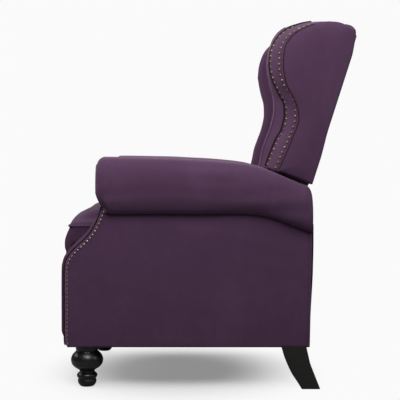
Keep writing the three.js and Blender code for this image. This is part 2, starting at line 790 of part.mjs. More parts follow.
// Seat cushion: crowned top, flat on its frame, and a boxed front that drops over the front rail
// and is cut away at its lower corners, where the front links swing out.
function seatCushion() {
  const depth = seatRear - seatFront;
  const noseBottom = seatBottom - seatNoseDrop;
  const noseRear = seatFront + seatNoseThickness;
  const rings = seatStationShares.map(([across, crown]) => {
    const top = seatTopShares.map(([y, z]) => [seatFront + depth * y, seatWelt + seatCrown * z * crown]);
    const nose = seatNoseShares.map(([y, z]) => [
      seatFront + seatNoseThickness * y,
      seatWelt - (seatWelt - noseBottom) * z,
    ]);
    const outline = [
      ...top, ...nose, [noseRear, noseBottom], [noseRear, seatBottom], [seatRear, seatBottom],
    ];
    return outline.map(([y, z]) => new THREE.Vector3(across * seatHalfWidth, y, z));
  });
  const [front, rear] = [seatFront - cutOverrun, noseRear + cutOverrun];
  const [notchBottom, notchTop] = [noseBottom - cutOverrun, noseBottom + noseNotchHeight];
  const notchOuter = seatHalfWidth + cutOverrun;
  const notches = [[-notchOuter, -seatFrameHalfWidth], [seatFrameHalfWidth, notchOuter]].map(
    ([x0, x1]) => solidOf(slab(x0, x1, front, rear, notchBottom, notchTop)),
  );
  return geometryOf(notches.reduce((rest, notch) => rest.subtract(notch), solidOf(loft(rings, flattenYZ))));
}

// Sinuous spring: a wire that swings from side to side between the front and the rear rail.
function spring(place) {
  const front = seatFront + seatNoseThickness + seatRailThickness / 2;
  const rear = seatRearRailY + seatRailThickness / 2;
  const waves = Math.round((rear - front) / springWave);
  const steps = waves * springSteps;
  const z = seatWood + touchGap + springWire / 2;
  const points = Array.from({ length: steps + 1 }, (_, i) => new THREE.Vector3(
    place + springSwing * Math.sin((i / steps) * waves * Math.PI * 2),
    front + ((rear - front) * i) / steps,
    z,
  ));
  const section = Array.from({ length: springSides }, (_, i) => {
    const turn = (i / springSides) * Math.PI * 2;
    return new THREE.Vector2(Math.cos(turn), Math.sin(turn)).multiplyScalar(springWire / 2);
  });
  return new THREE.ExtrudeGeometry(new THREE.Shape(section), {
    extrudePath: new THREE.CatmullRomCurve3(points),
    steps,
    bevelEnabled: false,
  });
}

// How far a tufted surface sinks at (across, up): deepest at the buttons, along diamond pleats.
function tuftSink(across, up) {
  const column = (across / (2 * cushionHalfWidth)) * tuftColumns;
  const row = up / tuftPitch;
  const swell = Math.abs(Math.sin(Math.PI * (column + row)) * Math.sin(Math.PI * (column - row)));
  return 1 - swell ** tuftPower;
}

// Back cushion: tufted front face, top rolled over the top rail, flat on the back frame.
function backCushion() {
  const railRear = outsideBackThickness + touchGap;
  const frameFront = railRear + backPostDepth + touchGap;
  const columns = tuftColumns * tuftSteps;
  const rise = backFrameTop - cushionBottom;
  const heights = Array.from(
    { length: cushionRows + 1 },
    (_, i) => cushionBottom + (rise * i) / cushionRows,
  );
  const stations = [
    ...heights.map((z) => [z, 1, frameFront]),
    [backFrameTop + touchGap, 1, railRear],
    ...cushionRollShares.map(([up, depth]) => [roundZ(up), depth, railRear]),
  ];
  const rings = stations.map(([z, depth, rear]) => {
    const half = z < cushionStepZ ? cushionLowHalfWidth : cushionHalfWidth;
    const rearY = backRearY(z) - rear;
    const foot = Math.min(1, cushionFootShare + (z - cushionBottom) / cushionDepth);
    const ring = Array.from({ length: columns + 1 }, (_, i) => {
      const share = (2 * i) / columns - 1;
      const side = 1 - cushionSideDip * share ** cushionSidePower;
      const fade = THREE.MathUtils.smoothstep(z, tuftStart - tuftPitch, tuftStart);
      const sink = tuftDepth * fade * tuftSink(share * cushionHalfWidth, z - tuftStart);
      const front = backRearY(z) - frameFront - (cushionDepth * side * foot - sink) * depth;
      return new THREE.Vector3(share * half, front, z);
    });
    return [...ring, new THREE.Vector3(half, rearY, z), new THREE.Vector3(-half, rearY, z)];
  });
  return loft(rings, flattenXY);
}

// A side-view point of the wing from its shares of depth and height.
function wingPoint([forward, up]) {
  const z = wingBottom + (backTop - wingBottom) * up;
  const rear = backRearY(z) - outsideBackThickness - touchGap;
  return new THREE.Vector2(rear - forward * wingDepth, z);
}

// The wing's outer face leans outwards from the rear edge to the front edge.
function wingOuterX(forward) {
  const front = Math.max(...wingPanelShares.map(([share]) => share));
  return wingRearOuter + (wingFrontOuter - wingRearOuter) * Math.min(forward / front, 1);
}

// A wing outline: front edge and top, round down to the rear edge, and foot.
function wingOutline(frontShares, rearShares, footShares) {
  const heights = rearShares.map((share) => (roundZ(share) - wingBottom) / (backTop - wingBottom));
  return [...frontShares, ...heights.map((up) => [0, up]), ...footShares];
}
const wingCrest = wingOutline(wingCrestShares, wingCrestRearShares, wingCrestFootShares);
const wingPanelEdge = wingOutline(wingPanelShares, wingPanelRearShares, wingPanelFootShares);

// Padded wing: rolled crest in front, band that faces forward and outward, flat inner face.
function wingPad() {
  const centre = new THREE.Vector2(0, 0);
  const crest = wingCrest.map(wingPoint);
  crest.forEach((p) => centre.addScaledVector(p, 1 / crest.length));
  const inset = (p, amount) => {
    const inward = centre.clone().sub(p).normalize();
    const isRear = p.x > backRearY(p.y) - outsideBackThickness - 2 * touchGap;
    return isRear ? p.clone() : p.clone().addScaledVector(inward, amount);
  };
  const crestRings = wingCrestRingShares.map(([outward, inward]) => crest.map((p) => {
    const place = inset(p, wingCrestInset * inward);
    return new THREE.Vector3(wingInner + wingCrestInset * outward, place.x, place.y);
  }));
  const rings = [
    ...crestRings,
    wingPanelEdge.map((share) => {
      const p = wingPoint(share);
      return new THREE.Vector3(wingOuterX(share[0]) - wingPanelThickness - touchGap, p.x, p.y);
    }),
  ];
  return loft(rings, flattenYZ);
}

// Outer wing panel: upholstered board on the outside of the wing, with a rounded front edge.
function wingPanel() {
  const rings = wingPanelRingShares.map(([depth, pull]) => wingPanelEdge.map((share) => {
    const p = wingPoint(share);
    const y = share[0] > 0 ? p.x + panelEdgeRadius * pull : p.x;
    return new THREE.Vector3(wingOuterX(share[0]) - wingPanelThickness * depth, y, p.y);
  }));
  return loft(rings, flattenYZ);
}

// Outside back: narrow between the arms, full width above them, round at the top.
function outsideBack() {
  const stations = [
    [outsideBackBottom, outsideBackLowHalfWidth],
    [outsideBackShoulder, outsideBackLowHalfWidth],
    [outsideBackShoulder + outsideBackShoulderRise, outsideBackHalfWidth],
    ...outsideBackWidthShares.map(([up, width]) => [roundZ(up), outsideBackHalfWidth * width]),
  ];
  const rings = stations.map(([z, half]) => {
    const rear = backRearY(z);
    const front = rear - outsideBackThickness;
    return [[-half, front], [half, front], [half, rear], [-half, rear]].map(
      ([x, y]) => new THREE.Vector3(x, y, z),
    );
  });
  return loft(rings, flattenXY);
}

// A board in the plane of the back frame, from height z0 to z1.
function backFrameBoard(x0, x1, z0, z1) {
  const rear = outsideBackThickness + touchGap;
  const front = rear + backPostDepth;
  const outline = [
    [backRearY(z0) - front, z0], [backRearY(z0) - rear, z0],
    [backRearY(z1) - rear, z1], [backRearY(z1) - front, z1],
  ];
  return sideBoard(outline.map(([y, z]) => new THREE.Vector2(y, z)), x0, x1);
}

// Rear cover: fabric panel that closes the base below the back.
function rearCover() {
  const heights = [baseBottom, baseRearKnee, rearCoverTop];
  const front = heights.map((z) => new THREE.Vector2(baseRearY(z), z));
  const rear = heights.map((z) => new THREE.Vector2(baseRearY(z) + rearCoverThickness, z)).reverse();
  return sideBoard([...front, ...rear], -sideOuter, sideOuter);
}

// Base
timberPair("arm_post_front", frontPost());
timberPair("arm_post_rear", rearPost());
timberPair("arm_rail", armRail());
timberPair("side_board", lowerSideBoard());
fabricPair("side_panel", sidePanel());
fabricPair("front_border", frontBorder());
fabricPair("arm_roll", armRoll());
pair("front_leg", frontLeg(), turnedWoodLook);
pair("rear_leg", rearLeg(), sawnWoodLook);
steelPair("base_plate", basePlate());
const crossRailHalf = frameInner - touchGap;
function crossRail(name, rear, height) {
  const front = rear - crossRailThickness;
  const board = slab(-crossRailHalf, crossRailHalf, front, rear, baseBottom, baseBottom + height);
  piece(name, board, timberLook);
}
crossRail("front_cross_rail", sideFront + frontCrossRailSetback + crossRailThickness, frontCrossRailHeight);
crossRail("rear_cross_rail", baseRearFoot - touchGap, rearCrossRailHeight);
piece("rear_cover", rearCover(), fabricLook);

// Seat
const seatRailZ = seatWood - seatRailHeight;
const frontRailY = seatFront + seatNoseThickness + touchGap;
function seatCrossRail(name, front) {
  const rear = front + seatRailThickness;
  const board = slab(-seatFrameHalfWidth, seatFrameHalfWidth, front, rear, seatRailZ, seatWood);
  piece(name, board, timberLook);
}
seatCrossRail("seat_front_rail", frontRailY);
seatCrossRail("seat_rear_rail", seatRearRailY);
timberPair("seat_side_rail", slab(
  seatFrameHalfWidth - seatSideRailThickness, seatFrameHalfWidth,
  frontRailY + seatRailThickness + touchGap, seatRearRailY - touchGap, seatRailZ, seatWood,
));
steelPair("seat_steel_rail", seatSteelRail());
for (let i = 0; i < springCount; i += 1) {
  piece(`seat_spring_${i + 1}`, spring((i - (springCount - 1) / 2) * springSpacing), steelLook);
}
piece("seat_cushion", seatCushion(), fabricLook);

// Back
const backPostInner = backPostOuter - backPostWidth;
const topRailZ = backPostTop + touchGap;
const topRail = backFrameBoard(-backPostOuter, backPostOuter, topRailZ, topRailZ + backTopRailHeight);
const bottomRailHalf = backPostInner - touchGap;
const bottomRailTop = backBottomRailZ + backBottomRailHeight;
const bottomRail = backFrameBoard(-bottomRailHalf, bottomRailHalf, backBottomRailZ, bottomRailTop);
timberPair("back_post", backFrameBoard(backPostInner, backPostOuter, backPostBottom, backPostTop));
piece("back_top_rail", topRail, timberLook);
piece("back_bottom_rail", bottomRail, timberLook);
piece("back_cushion", backCushion(), fabricLook);
piece("outside_back", outsideBack(), fabricLook);
fabricPair("wing_pad", wingPad());
fabricPair("wing_panel", wingPanel());
steelPair("back_bracket", backBracket());

// Links and footrest
steelPair("drag_link", dragLink());
steelPair("rear_link", rearLink());
steelPair("reach_link", reachLink());
steelPair("front_link", frontLink());
steelPair("lower_link", lowerLink());
steelPair("foot_bracket", footBracket());
piece("footrest_board", slab(
  -boardHalfWidth, boardHalfWidth, boardRear - boardThickness, boardRear, boardBottom, boardTop,
), timberLook);
piece("footrest_pad", footPad(), fabricLook);

export default chair;
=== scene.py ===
"""Dresses the wingback recliner in its cloth, welts, nails, wood and steel, and lights it for one view.

Every length in this file is in millimetres until a mesh is made. +X is the sitter's left, -Y is
the front, +Z is up, and the origin lies on the floor under the middle of the chair.
"""

import json
import logging
import math
from collections.abc import Callable
from dataclasses import dataclass, field
from enum import Enum
from functools import cached_property
import bpy
import numpy as np
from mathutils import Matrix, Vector

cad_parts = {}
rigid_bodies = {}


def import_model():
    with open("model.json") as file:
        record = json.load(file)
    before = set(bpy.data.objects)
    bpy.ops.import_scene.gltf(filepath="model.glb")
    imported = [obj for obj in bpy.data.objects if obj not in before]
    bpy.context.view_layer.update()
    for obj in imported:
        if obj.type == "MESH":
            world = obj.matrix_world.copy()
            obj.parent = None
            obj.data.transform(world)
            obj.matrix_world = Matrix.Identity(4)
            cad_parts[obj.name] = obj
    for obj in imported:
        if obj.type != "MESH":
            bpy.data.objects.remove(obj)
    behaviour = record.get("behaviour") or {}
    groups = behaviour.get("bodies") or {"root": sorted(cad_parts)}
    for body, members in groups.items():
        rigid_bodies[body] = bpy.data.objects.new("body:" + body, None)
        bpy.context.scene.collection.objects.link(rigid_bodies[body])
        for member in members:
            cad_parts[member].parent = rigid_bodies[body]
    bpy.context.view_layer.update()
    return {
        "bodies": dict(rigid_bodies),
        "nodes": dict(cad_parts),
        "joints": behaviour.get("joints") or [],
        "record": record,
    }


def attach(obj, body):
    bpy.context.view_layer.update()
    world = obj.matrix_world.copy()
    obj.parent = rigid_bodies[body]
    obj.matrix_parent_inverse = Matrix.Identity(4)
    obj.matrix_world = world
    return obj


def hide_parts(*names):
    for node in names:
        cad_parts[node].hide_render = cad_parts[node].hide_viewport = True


MM = 0.001
log = logging.getLogger("recliner")

Array = np.ndarray
Points = list[tuple[float, float]]
Triple = tuple[float, float, float]

SPAN_STEPS = 16  # points worked out on each span of a smooth curve before it is spaced evenly
CAP_WIDTH_SHARES = (0.55, 0.9)  # radii of the two rings that round a cord's end, as shares of its radius
CAP_REACH_SHARES = (0.85, 0.45)  # how far those rings stand out past the end, as shares of its radius
DOME_RISE_SHARES = (0.0, 0.45, 0.85)  # a dome's rings, as shares of the quarter turn from foot to top
DOME_FULLNESS = 0.8  # a power below 1 keeps a dome wide towards its top


# Curves and skins


def run_lengths(curve: Array) -> Array:
    """The running length of a polyline at each of its points, from 0 at the first."""
    return np.concatenate([[0.0], np.cumsum(np.linalg.norm(np.diff(curve, axis=0), axis=1))])


def read_rows(places: Array, run: Array, rows: Array) -> Array:
    """Reads rows of values at given places by linear interpolation over the rows' running lengths."""
    return np.column_stack([np.interp(places, run, rows[:, k]) for k in range(rows.shape[1])])


def resample(curve: Array, count: int) -> Array:
    """Spaces count points evenly along a polyline, by linear interpolation over its running length."""
    run = run_lengths(curve)
    return read_rows(np.linspace(0.0, run[-1], count), run, curve)


def read_curve(points: Points, count: int, at: Array) -> Array:
    """Reads a smooth curve through (place, value) points, spaced at count points, at given places."""
    line = smooth_curve(points, count)
    return np.interp(at, line[:, 0], line[:, 1])


def beside(path: Array) -> Array:
    """Unit directions square to a plane path, to the right of its run."""
    slope = np.gradient(path, axis=0)
    return unit(np.column_stack([slope[:, 1], -slope[:, 0]]))


def turns(count: int) -> Array:
    """Even angles round a whole turn, in radians."""
    return np.linspace(0.0, 2 * np.pi, count, endpoint=False)


def at_x(x: float, side_view: Array) -> Array:
    """Puts a side view's (y, z) points at one x."""
    return np.column_stack([np.full(len(side_view), x), side_view])


def smooth_curve(points: Points | Array, count: int, closed: bool = False) -> Array:
    """Draws a Catmull-Rom curve through points and spaces it evenly.

    Each span is the cubic whose end slopes are half the chord between the neighbouring points.

    Args:
        points: the points that the curve passes through.
        count: number of points wanted.
        closed: whether the curve returns to its first point, which is then given once more.

    Returns:
        count points along the curve.
    """
    p = np.asarray(points, dtype=float)
    if closed:
        q = np.vstack([p[-1:], p, p[:2]])
    else:
        q = np.vstack([2 * p[0] - p[1], p, 2 * p[-1] - p[-2]])
    spans = len(q) - 3
    a, b, c, d = (q[i : i + spans][:, None, :] for i in range(4))
    t = np.linspace(0.0, 1.0, SPAN_STEPS, endpoint=False)[None, :, None]
    curve = 0.5 * (
        2 * b + (c - a) * t + (2 * a - 5 * b + 4 * c - d) * t**2 + (3 * b - a - 3 * c + d) * t**3
    )
    curve = curve.reshape(-1, p.shape[1])
    last = curve[:1] if closed else p[-1:]
    return resample(np.vstack([curve, last]), count)


def spans_curve(spans: list[Points], counts: tuple[int, ...]) -> Array:
    """One curve from spans that share their end points, with a set count of steps for each span."""
    parts = [smooth_curve(s, n + 1)[:-1] for s, n in zip(spans, counts)]
    return np.vstack([*parts, np.asarray(spans[-1], dtype=float)[-1:]])


def ease(t: Array) -> Array:
    """Smooth step from 0 to 1: 3 t squared minus 2 t cubed, held outside that range."""
    t = np.clip(t, 0.0, 1.0)
    return t * t * (3 - 2 * t)


def edge_drop(distance: Array, radius: float) -> Array:
    """How far a rounded edge falls below its face: a quarter circle over the last radius."""
    near = np.clip(1 - distance / radius, 0.0, 1.0)
    return radius * (1 - np.sqrt(1 - near**2))


def edge_steps(count: int, edge: float) -> Array:
    """Places from 0 to 1 that crowd at both ends: even steps bent by a sine of the given weight."""
    t = np.linspace(0.0, 1.0, count)
    return t - edge * np.sin(2 * np.pi * t) / (2 * np.pi)


def dent(t: Array, width: float) -> Array:
    """A soft groove of depth 1 at t = 0: the bell curve of t over width."""
    return np.exp(-((t / width) ** 2))


def blend_patch(bottom: Array, top: Array, front: Array, rear: Array, us: Array, vs: Array) -> Array:
    """Fills four edge curves with a grid: the Coons sum of the two rulings less the corners' plane.

    Args:
        bottom, top: edges from the front to the rear, one point for each u.
        front, rear: edges from the bottom to the top, one point for each v.
        us, vs: the grid's places along and up the patch, from 0 to 1.

    Returns:
        points of shape (len(vs), len(us), dimension).
    """
    u = us[None, :, None]
    v = vs[:, None, None]
    along = (1 - v) * bottom[None] + v * top[None]
    upward = (1 - u) * front[:, None] + u * rear[:, None]
    corners = (
        (1 - u) * (1 - v) * bottom[0] + u * (1 - v) * bottom[-1] + (1 - u) * v * top[0] + u * v * top[-1]
    )
    return along + upward - corners


@dataclass
class Skin:
    """A closed mesh in millimetres: its points and its faces."""

    points: Array
    faces: list[list[int]]

    def mirrored(self) -> "Skin":
        """The same skin on the other side of the chair, with its faces still pointing out."""
        return Skin(self.points * np.array([-1.0, 1.0, 1.0]), [face[::-1] for face in self.faces])

    @staticmethod
    def joined(skins: "list[Skin]") -> "Skin":
        """One skin that holds several.

        Args:
            skins: the skins to hold.

        Returns:
            their points and faces together, in their order.
        """
        starts = np.cumsum([0] + [len(s.points) for s in skins]).tolist()
        faces = [[i + start for i in face] for skin, start in zip(skins, starts) for face in skin.faces]
        return Skin(np.vstack([s.points for s in skins]), faces)

    def outward(self) -> "Skin":
        """Turns all faces out when the volume inside, summed by the divergence rule, is negative.

        Returns:
            this skin, or one with its faces turned round.
        """
        volume = 0.0
        for size in (3, 4):
            rows = np.array([f for f in self.faces if len(f) == size], dtype=int)
            for k in range(1, size - 1):
                if len(rows):
                    a, b, c = (self.points[rows[:, i]] for i in (0, k, k + 1))
                    volume += float(np.sum(a * np.cross(b, c)))
        return self if volume >= 0 else Skin(self.points, [f[::-1] for f in self.faces])


def ring_skin(rings: Array, wrap: bool = False) -> Skin:
    """Covers rows of closed rings with quads, and closes each end with a fan about its middle.

    Args:
        rings: points of shape (rows, points in a ring, 3).
        wrap: whether the last row joins the first, as in a torus, so that no end is closed.

    Returns:
        the closed skin.
    """
    rows, count, _ = rings.shape
    i = np.arange(count)
    j = (i + 1) % count
    tops = np.arange(rows if wrap else rows - 1)[:, None] * count
    nexts = (tops + count) % (rows * count)
    quads = np.stack([tops + i, tops + j, nexts + j, nexts + i], axis=-1).reshape(-1, 4)
    points = rings.reshape(-1, 3)
    faces = quads.tolist()
    if not wrap:
        middle = rows * count
        points = np.vstack([points, rings[0].mean(axis=0), rings[-1].mean(axis=0)])
        last = (rows - 1) * count
        faces += np.stack([j, i, np.full(count, middle)], axis=-1).tolist()
        faces += np.stack([last + i, last + j, np.full(count, middle + 1)], axis=-1).tolist()
    return Skin(points, faces).outward()


def unit(vectors: Array) -> Array:
    """Vectors scaled to length 1."""
    return vectors / np.maximum(np.linalg.norm(vectors, axis=-1, keepdims=True), 1e-9)


def tube_skin(path: Array, radius: float, across: Triple, closed: bool = False, sides: int = 10) -> Skin:
    """Carries a circle along a path: each ring stands square to the path's slope.

    Args:
        path: points along the middle of the cord; a closed path gives its first point once.
        radius: the cord's radius.
        across: a direction that the path never runs along, from which the rings are turned.
        closed: whether the path returns to its start.
        sides: points round the circle.

    Returns:
        the closed skin.
    """
    if closed:
        slope = np.roll(path, -1, axis=0) - np.roll(path, 1, axis=0)
    else:
        slope = np.gradient(path, axis=0)
    slope = unit(slope)
    side = unit(np.cross(slope, np.array(across)))
    lift = np.cross(side, slope)
    turn = turns(sides)[None, :, None]
    rings = path[:, None] + radius * (np.cos(turn) * side[:, None] + np.sin(turn) * lift[:, None])
    if closed:
        return ring_skin(rings, wrap=True)
    width = np.array(CAP_WIDTH_SHARES)[:, None, None]
    reach = radius * np.array(CAP_REACH_SHARES)[:, None, None]
    first = path[0] + (rings[0] - path[0]) * width - slope[0] * reach
    last = path[-1] + (rings[-1] - path[-1]) * width[::-1] + slope[-1] * reach[::-1]
    return ring_skin(np.concatenate([first, rings, last]))


def dome_skin(places: Array, normals: Array, radius: float, height: float, sides: int = 10) -> Skin:
    """Sets a low dome on each place: rings whose radius and lift follow a quarter of an ellipse.

    Args:
        places: the middle of each dome's foot.
        normals: the direction in which each dome rises.
        radius: the dome's radius.
        height: how far it rises.
        sides: points round each dome.

    Returns:
        one skin of all domes, each closed below.
    """
    n = unit(normals)
    upright = np.abs(n[:, 2:3]) >= 0.9
    helper = np.where(upright, np.array([[0.0, 1.0, 0.0]]), np.array([[0.0, 0.0, 1.0]]))
    e = unit(np.cross(n, helper))
    f = np.cross(n, e)
    turn = turns(sides)[None, :, None]
    rise = np.array(DOME_RISE_SHARES) * np.pi / 2
    reach = (radius * np.cos(rise) ** DOME_FULLNESS)[None, :, None, None]
    lift = (height * np.sin(rise))[None, :, None, None]
    wheel = np.cos(turn) * e[:, None] + np.sin(turn) * f[:, None]
    rings = places[:, None, None] + reach * wheel[:, None] + lift * n[:, None, None]
    count = len(places)
    body = rings.reshape(count, -1, 3)
    points = np.concatenate([body, (places + n * height)[:, None]], axis=1)
    i = np.arange(sides)
    j = (i + 1) % sides
    rows = np.arange(len(rise) - 1)[:, None] * sides
    quads = np.stack([rows + i, rows + j, rows + sides + j, rows + sides + i], axis=-1).reshape(-1, 4)
    last = rows[-1] + sides
    cap = np.stack([last + i, last + j, np.full(sides, last[0] + sides)], axis=-1)
    starts = (np.arange(count) * (last[0] + sides + 1))[:, None, None]
    faces = (starts + quads).reshape(-1, 4).tolist() + (starts + cap).reshape(-1, 3).tolist()
    faces += (starts[:, 0] + i[::-1]).tolist()
    return Skin(points.reshape(-1, 3), faces)


def panel_skin(face: Array, back: Array) -> Skin:
    """Closes rows of a curved face with two flat back points for each row, from its last column on."""
    return ring_skin(np.concatenate([face, back], axis=1))


def slab_skin(front: Array, back: Array) -> Skin:
    """Closes two grids of one size that face away from each other, with a strip of quads round their rims.

    Args:
        front, back: points of shape (rows, columns, 3); equal places lie across from each other.

    Returns:
        the closed skin.
    """
    rows, columns, _ = front.shape
    count = rows * columns
    grid = np.arange(count).reshape(rows, columns)
    quads = np.stack([grid[:-1, :-1], grid[:-1, 1:], grid[1:, 1:], grid[1:, :-1]], axis=-1)
    quads = quads.reshape(-1, 4)
    rim = np.concatenate([grid[0, :-1], grid[:-1, -1], grid[-1, :0:-1], grid[:0:-1, 0]])
    ahead = np.roll(rim, -1)
    strip = np.stack([ahead, rim, rim + count, ahead + count], axis=-1)
    faces = np.concatenate([quads, quads[:, ::-1] + count, strip]).tolist()
    return Skin(np.concatenate([front.reshape(-1, 3), back.reshape(-1, 3)]), faces).outward()


def rounded_rectangle(
    half_width: float, half_height: float, corner: float, per_corner: int, per_side: int
) -> Array:
    """A rectangle with round corners, drawn anticlockwise: four quarter circles and the sides between.

    Args:
        half_width, half_height: half of its two sizes.
        corner: the radius of its corners.
        per_corner: steps in each corner.
        per_side: steps in each side.

    Returns:
        points about the rectangle's middle.
    """
    corner = min(corner, half_width * 0.999, half_height * 0.999)
    signs = np.array([[1, -1], [1, 1], [-1, 1], [-1, -1]], dtype=float)
    starts = np.radians([-90.0, 0.0, 90.0, 180.0])
    turn = np.linspace(0, np.pi / 2, per_corner + 1)
    middles = signs * np.array([half_width - corner, half_height - corner])
    arcs = middles[:, None] + corner * np.stack(
        [np.cos(starts[:, None] + turn), np.sin(starts[:, None] + turn)], axis=-1
    )
    ends = np.roll(arcs[:, 0], -1, axis=0)
    t = np.linspace(0, 1, per_side + 1)[None, 1:-1, None]
    sides = arcs[:, -1][:, None] * (1 - t) + ends[:, None] * t
    return np.concatenate([arcs, sides], axis=1).reshape(-1, 2)


class Body(Enum):
    """The moving bodies that pieces ride on."""

    BASE = "base"
    SEAT = "seat"
    BACK = "back"
    DRAG = "drag_links"
    FOOTREST = "footrest"


class Slot(Enum):
    """The record's material slots."""

    UPHOLSTERY = "upholstery"
    LINING = "black_lining"
    TIMBER = "frame_timber"
    BLACK_WOOD = "black_wood"
    STEEL = "mechanism_steel"


# Finishes

Socket = bpy.types.NodeSocket
NodeTree = bpy.types.NodeTree
Material = bpy.types.Material
Color = Triple
Rgba = tuple[float, float, float, float]
Operand = Socket | float | Triple | Rgba
Inputs = dict[str | int, Operand]

NOISE_ROUGHNESS = 0.55  # share of each finer octave in every noise


def rgba(color: Color) -> Rgba:
    """A colour with full cover."""
    return (*color, 1.0)


def grey(value: float) -> Rgba:
    """A grey with full cover."""
    return (value, value, value, 1.0)


@dataclass(frozen=True)
class Noise:
    """A noise: its waves per metre, its octaves of detail, and how its coordinates are stretched."""

    scale: float
    detail: float
    stretch: Triple | None = None


@dataclass(frozen=True)
class Wiring:
    """Adds nodes to one shader tree and links them."""

    tree: NodeTree

    def feed(self, node: bpy.types.Node, inputs: Inputs) -> None:
        """Links or sets a node's inputs.

        Args:
            node: the node to feed.
            inputs: for each input's name or number, the socket that it is linked to or its plain value.
        """
        for place, value in inputs.items():
            if isinstance(value, Socket):
                self.tree.links.new(value, node.inputs[place])
            else:
                node.inputs[place].default_value = value

    def node(self, kind: str, inputs: Inputs | None = None, **settings: object) -> bpy.types.Node:
        """Adds a node and feeds it.

        Args:
            kind: the node's type, without the prefix that all shader nodes have.
            inputs: what its inputs are linked to or set to.
            settings: the node's own settings.

        Returns:
            the new node.
        """
        node = self.tree.nodes.new("ShaderNode" + kind)
        for name, value in settings.items():
            setattr(node, name, value)
        self.feed(node, inputs or {})
        return node

    def math(self, operation: str, a: Operand, b: Operand, clamp: bool = False) -> Socket:
        """A sum, product or other operation of two values, held from 0 to 1 where clamp is set."""
        return self.node("Math", {0: a, 1: b}, operation=operation, use_clamp=clamp).outputs[0]

    def mix(self, factor: Operand, a: Operand, b: Operand) -> Socket:
        """A mix of two colours; 6, 7 and 2 are the numbers of the node's colour sockets."""
        return self.node("Mix", {"Factor": factor, 6: a, 7: b}, data_type="RGBA").outputs[2]

    def object_coords(self) -> Socket:
        """The object's own coordinates."""
        return self.node("TexCoord").outputs["Object"]

    def noise(self, coords: Socket, noise: Noise) -> Socket:
        """A noise texture on given coordinates.

        Args:
            coords: the coordinates.
            noise: its scale, detail and stretch.

        Returns:
            the noise's value.
        """
        if noise.stretch is not None:
            coords = self.node("Mapping", {"Vector": coords, "Scale": noise.stretch}).outputs["Vector"]
        inputs = {"Vector": coords, "Scale": noise.scale, "Detail": noise.detail}
        return self.node("TexNoise", {**inputs, "Roughness": NOISE_ROUGHNESS}).outputs["Fac"]


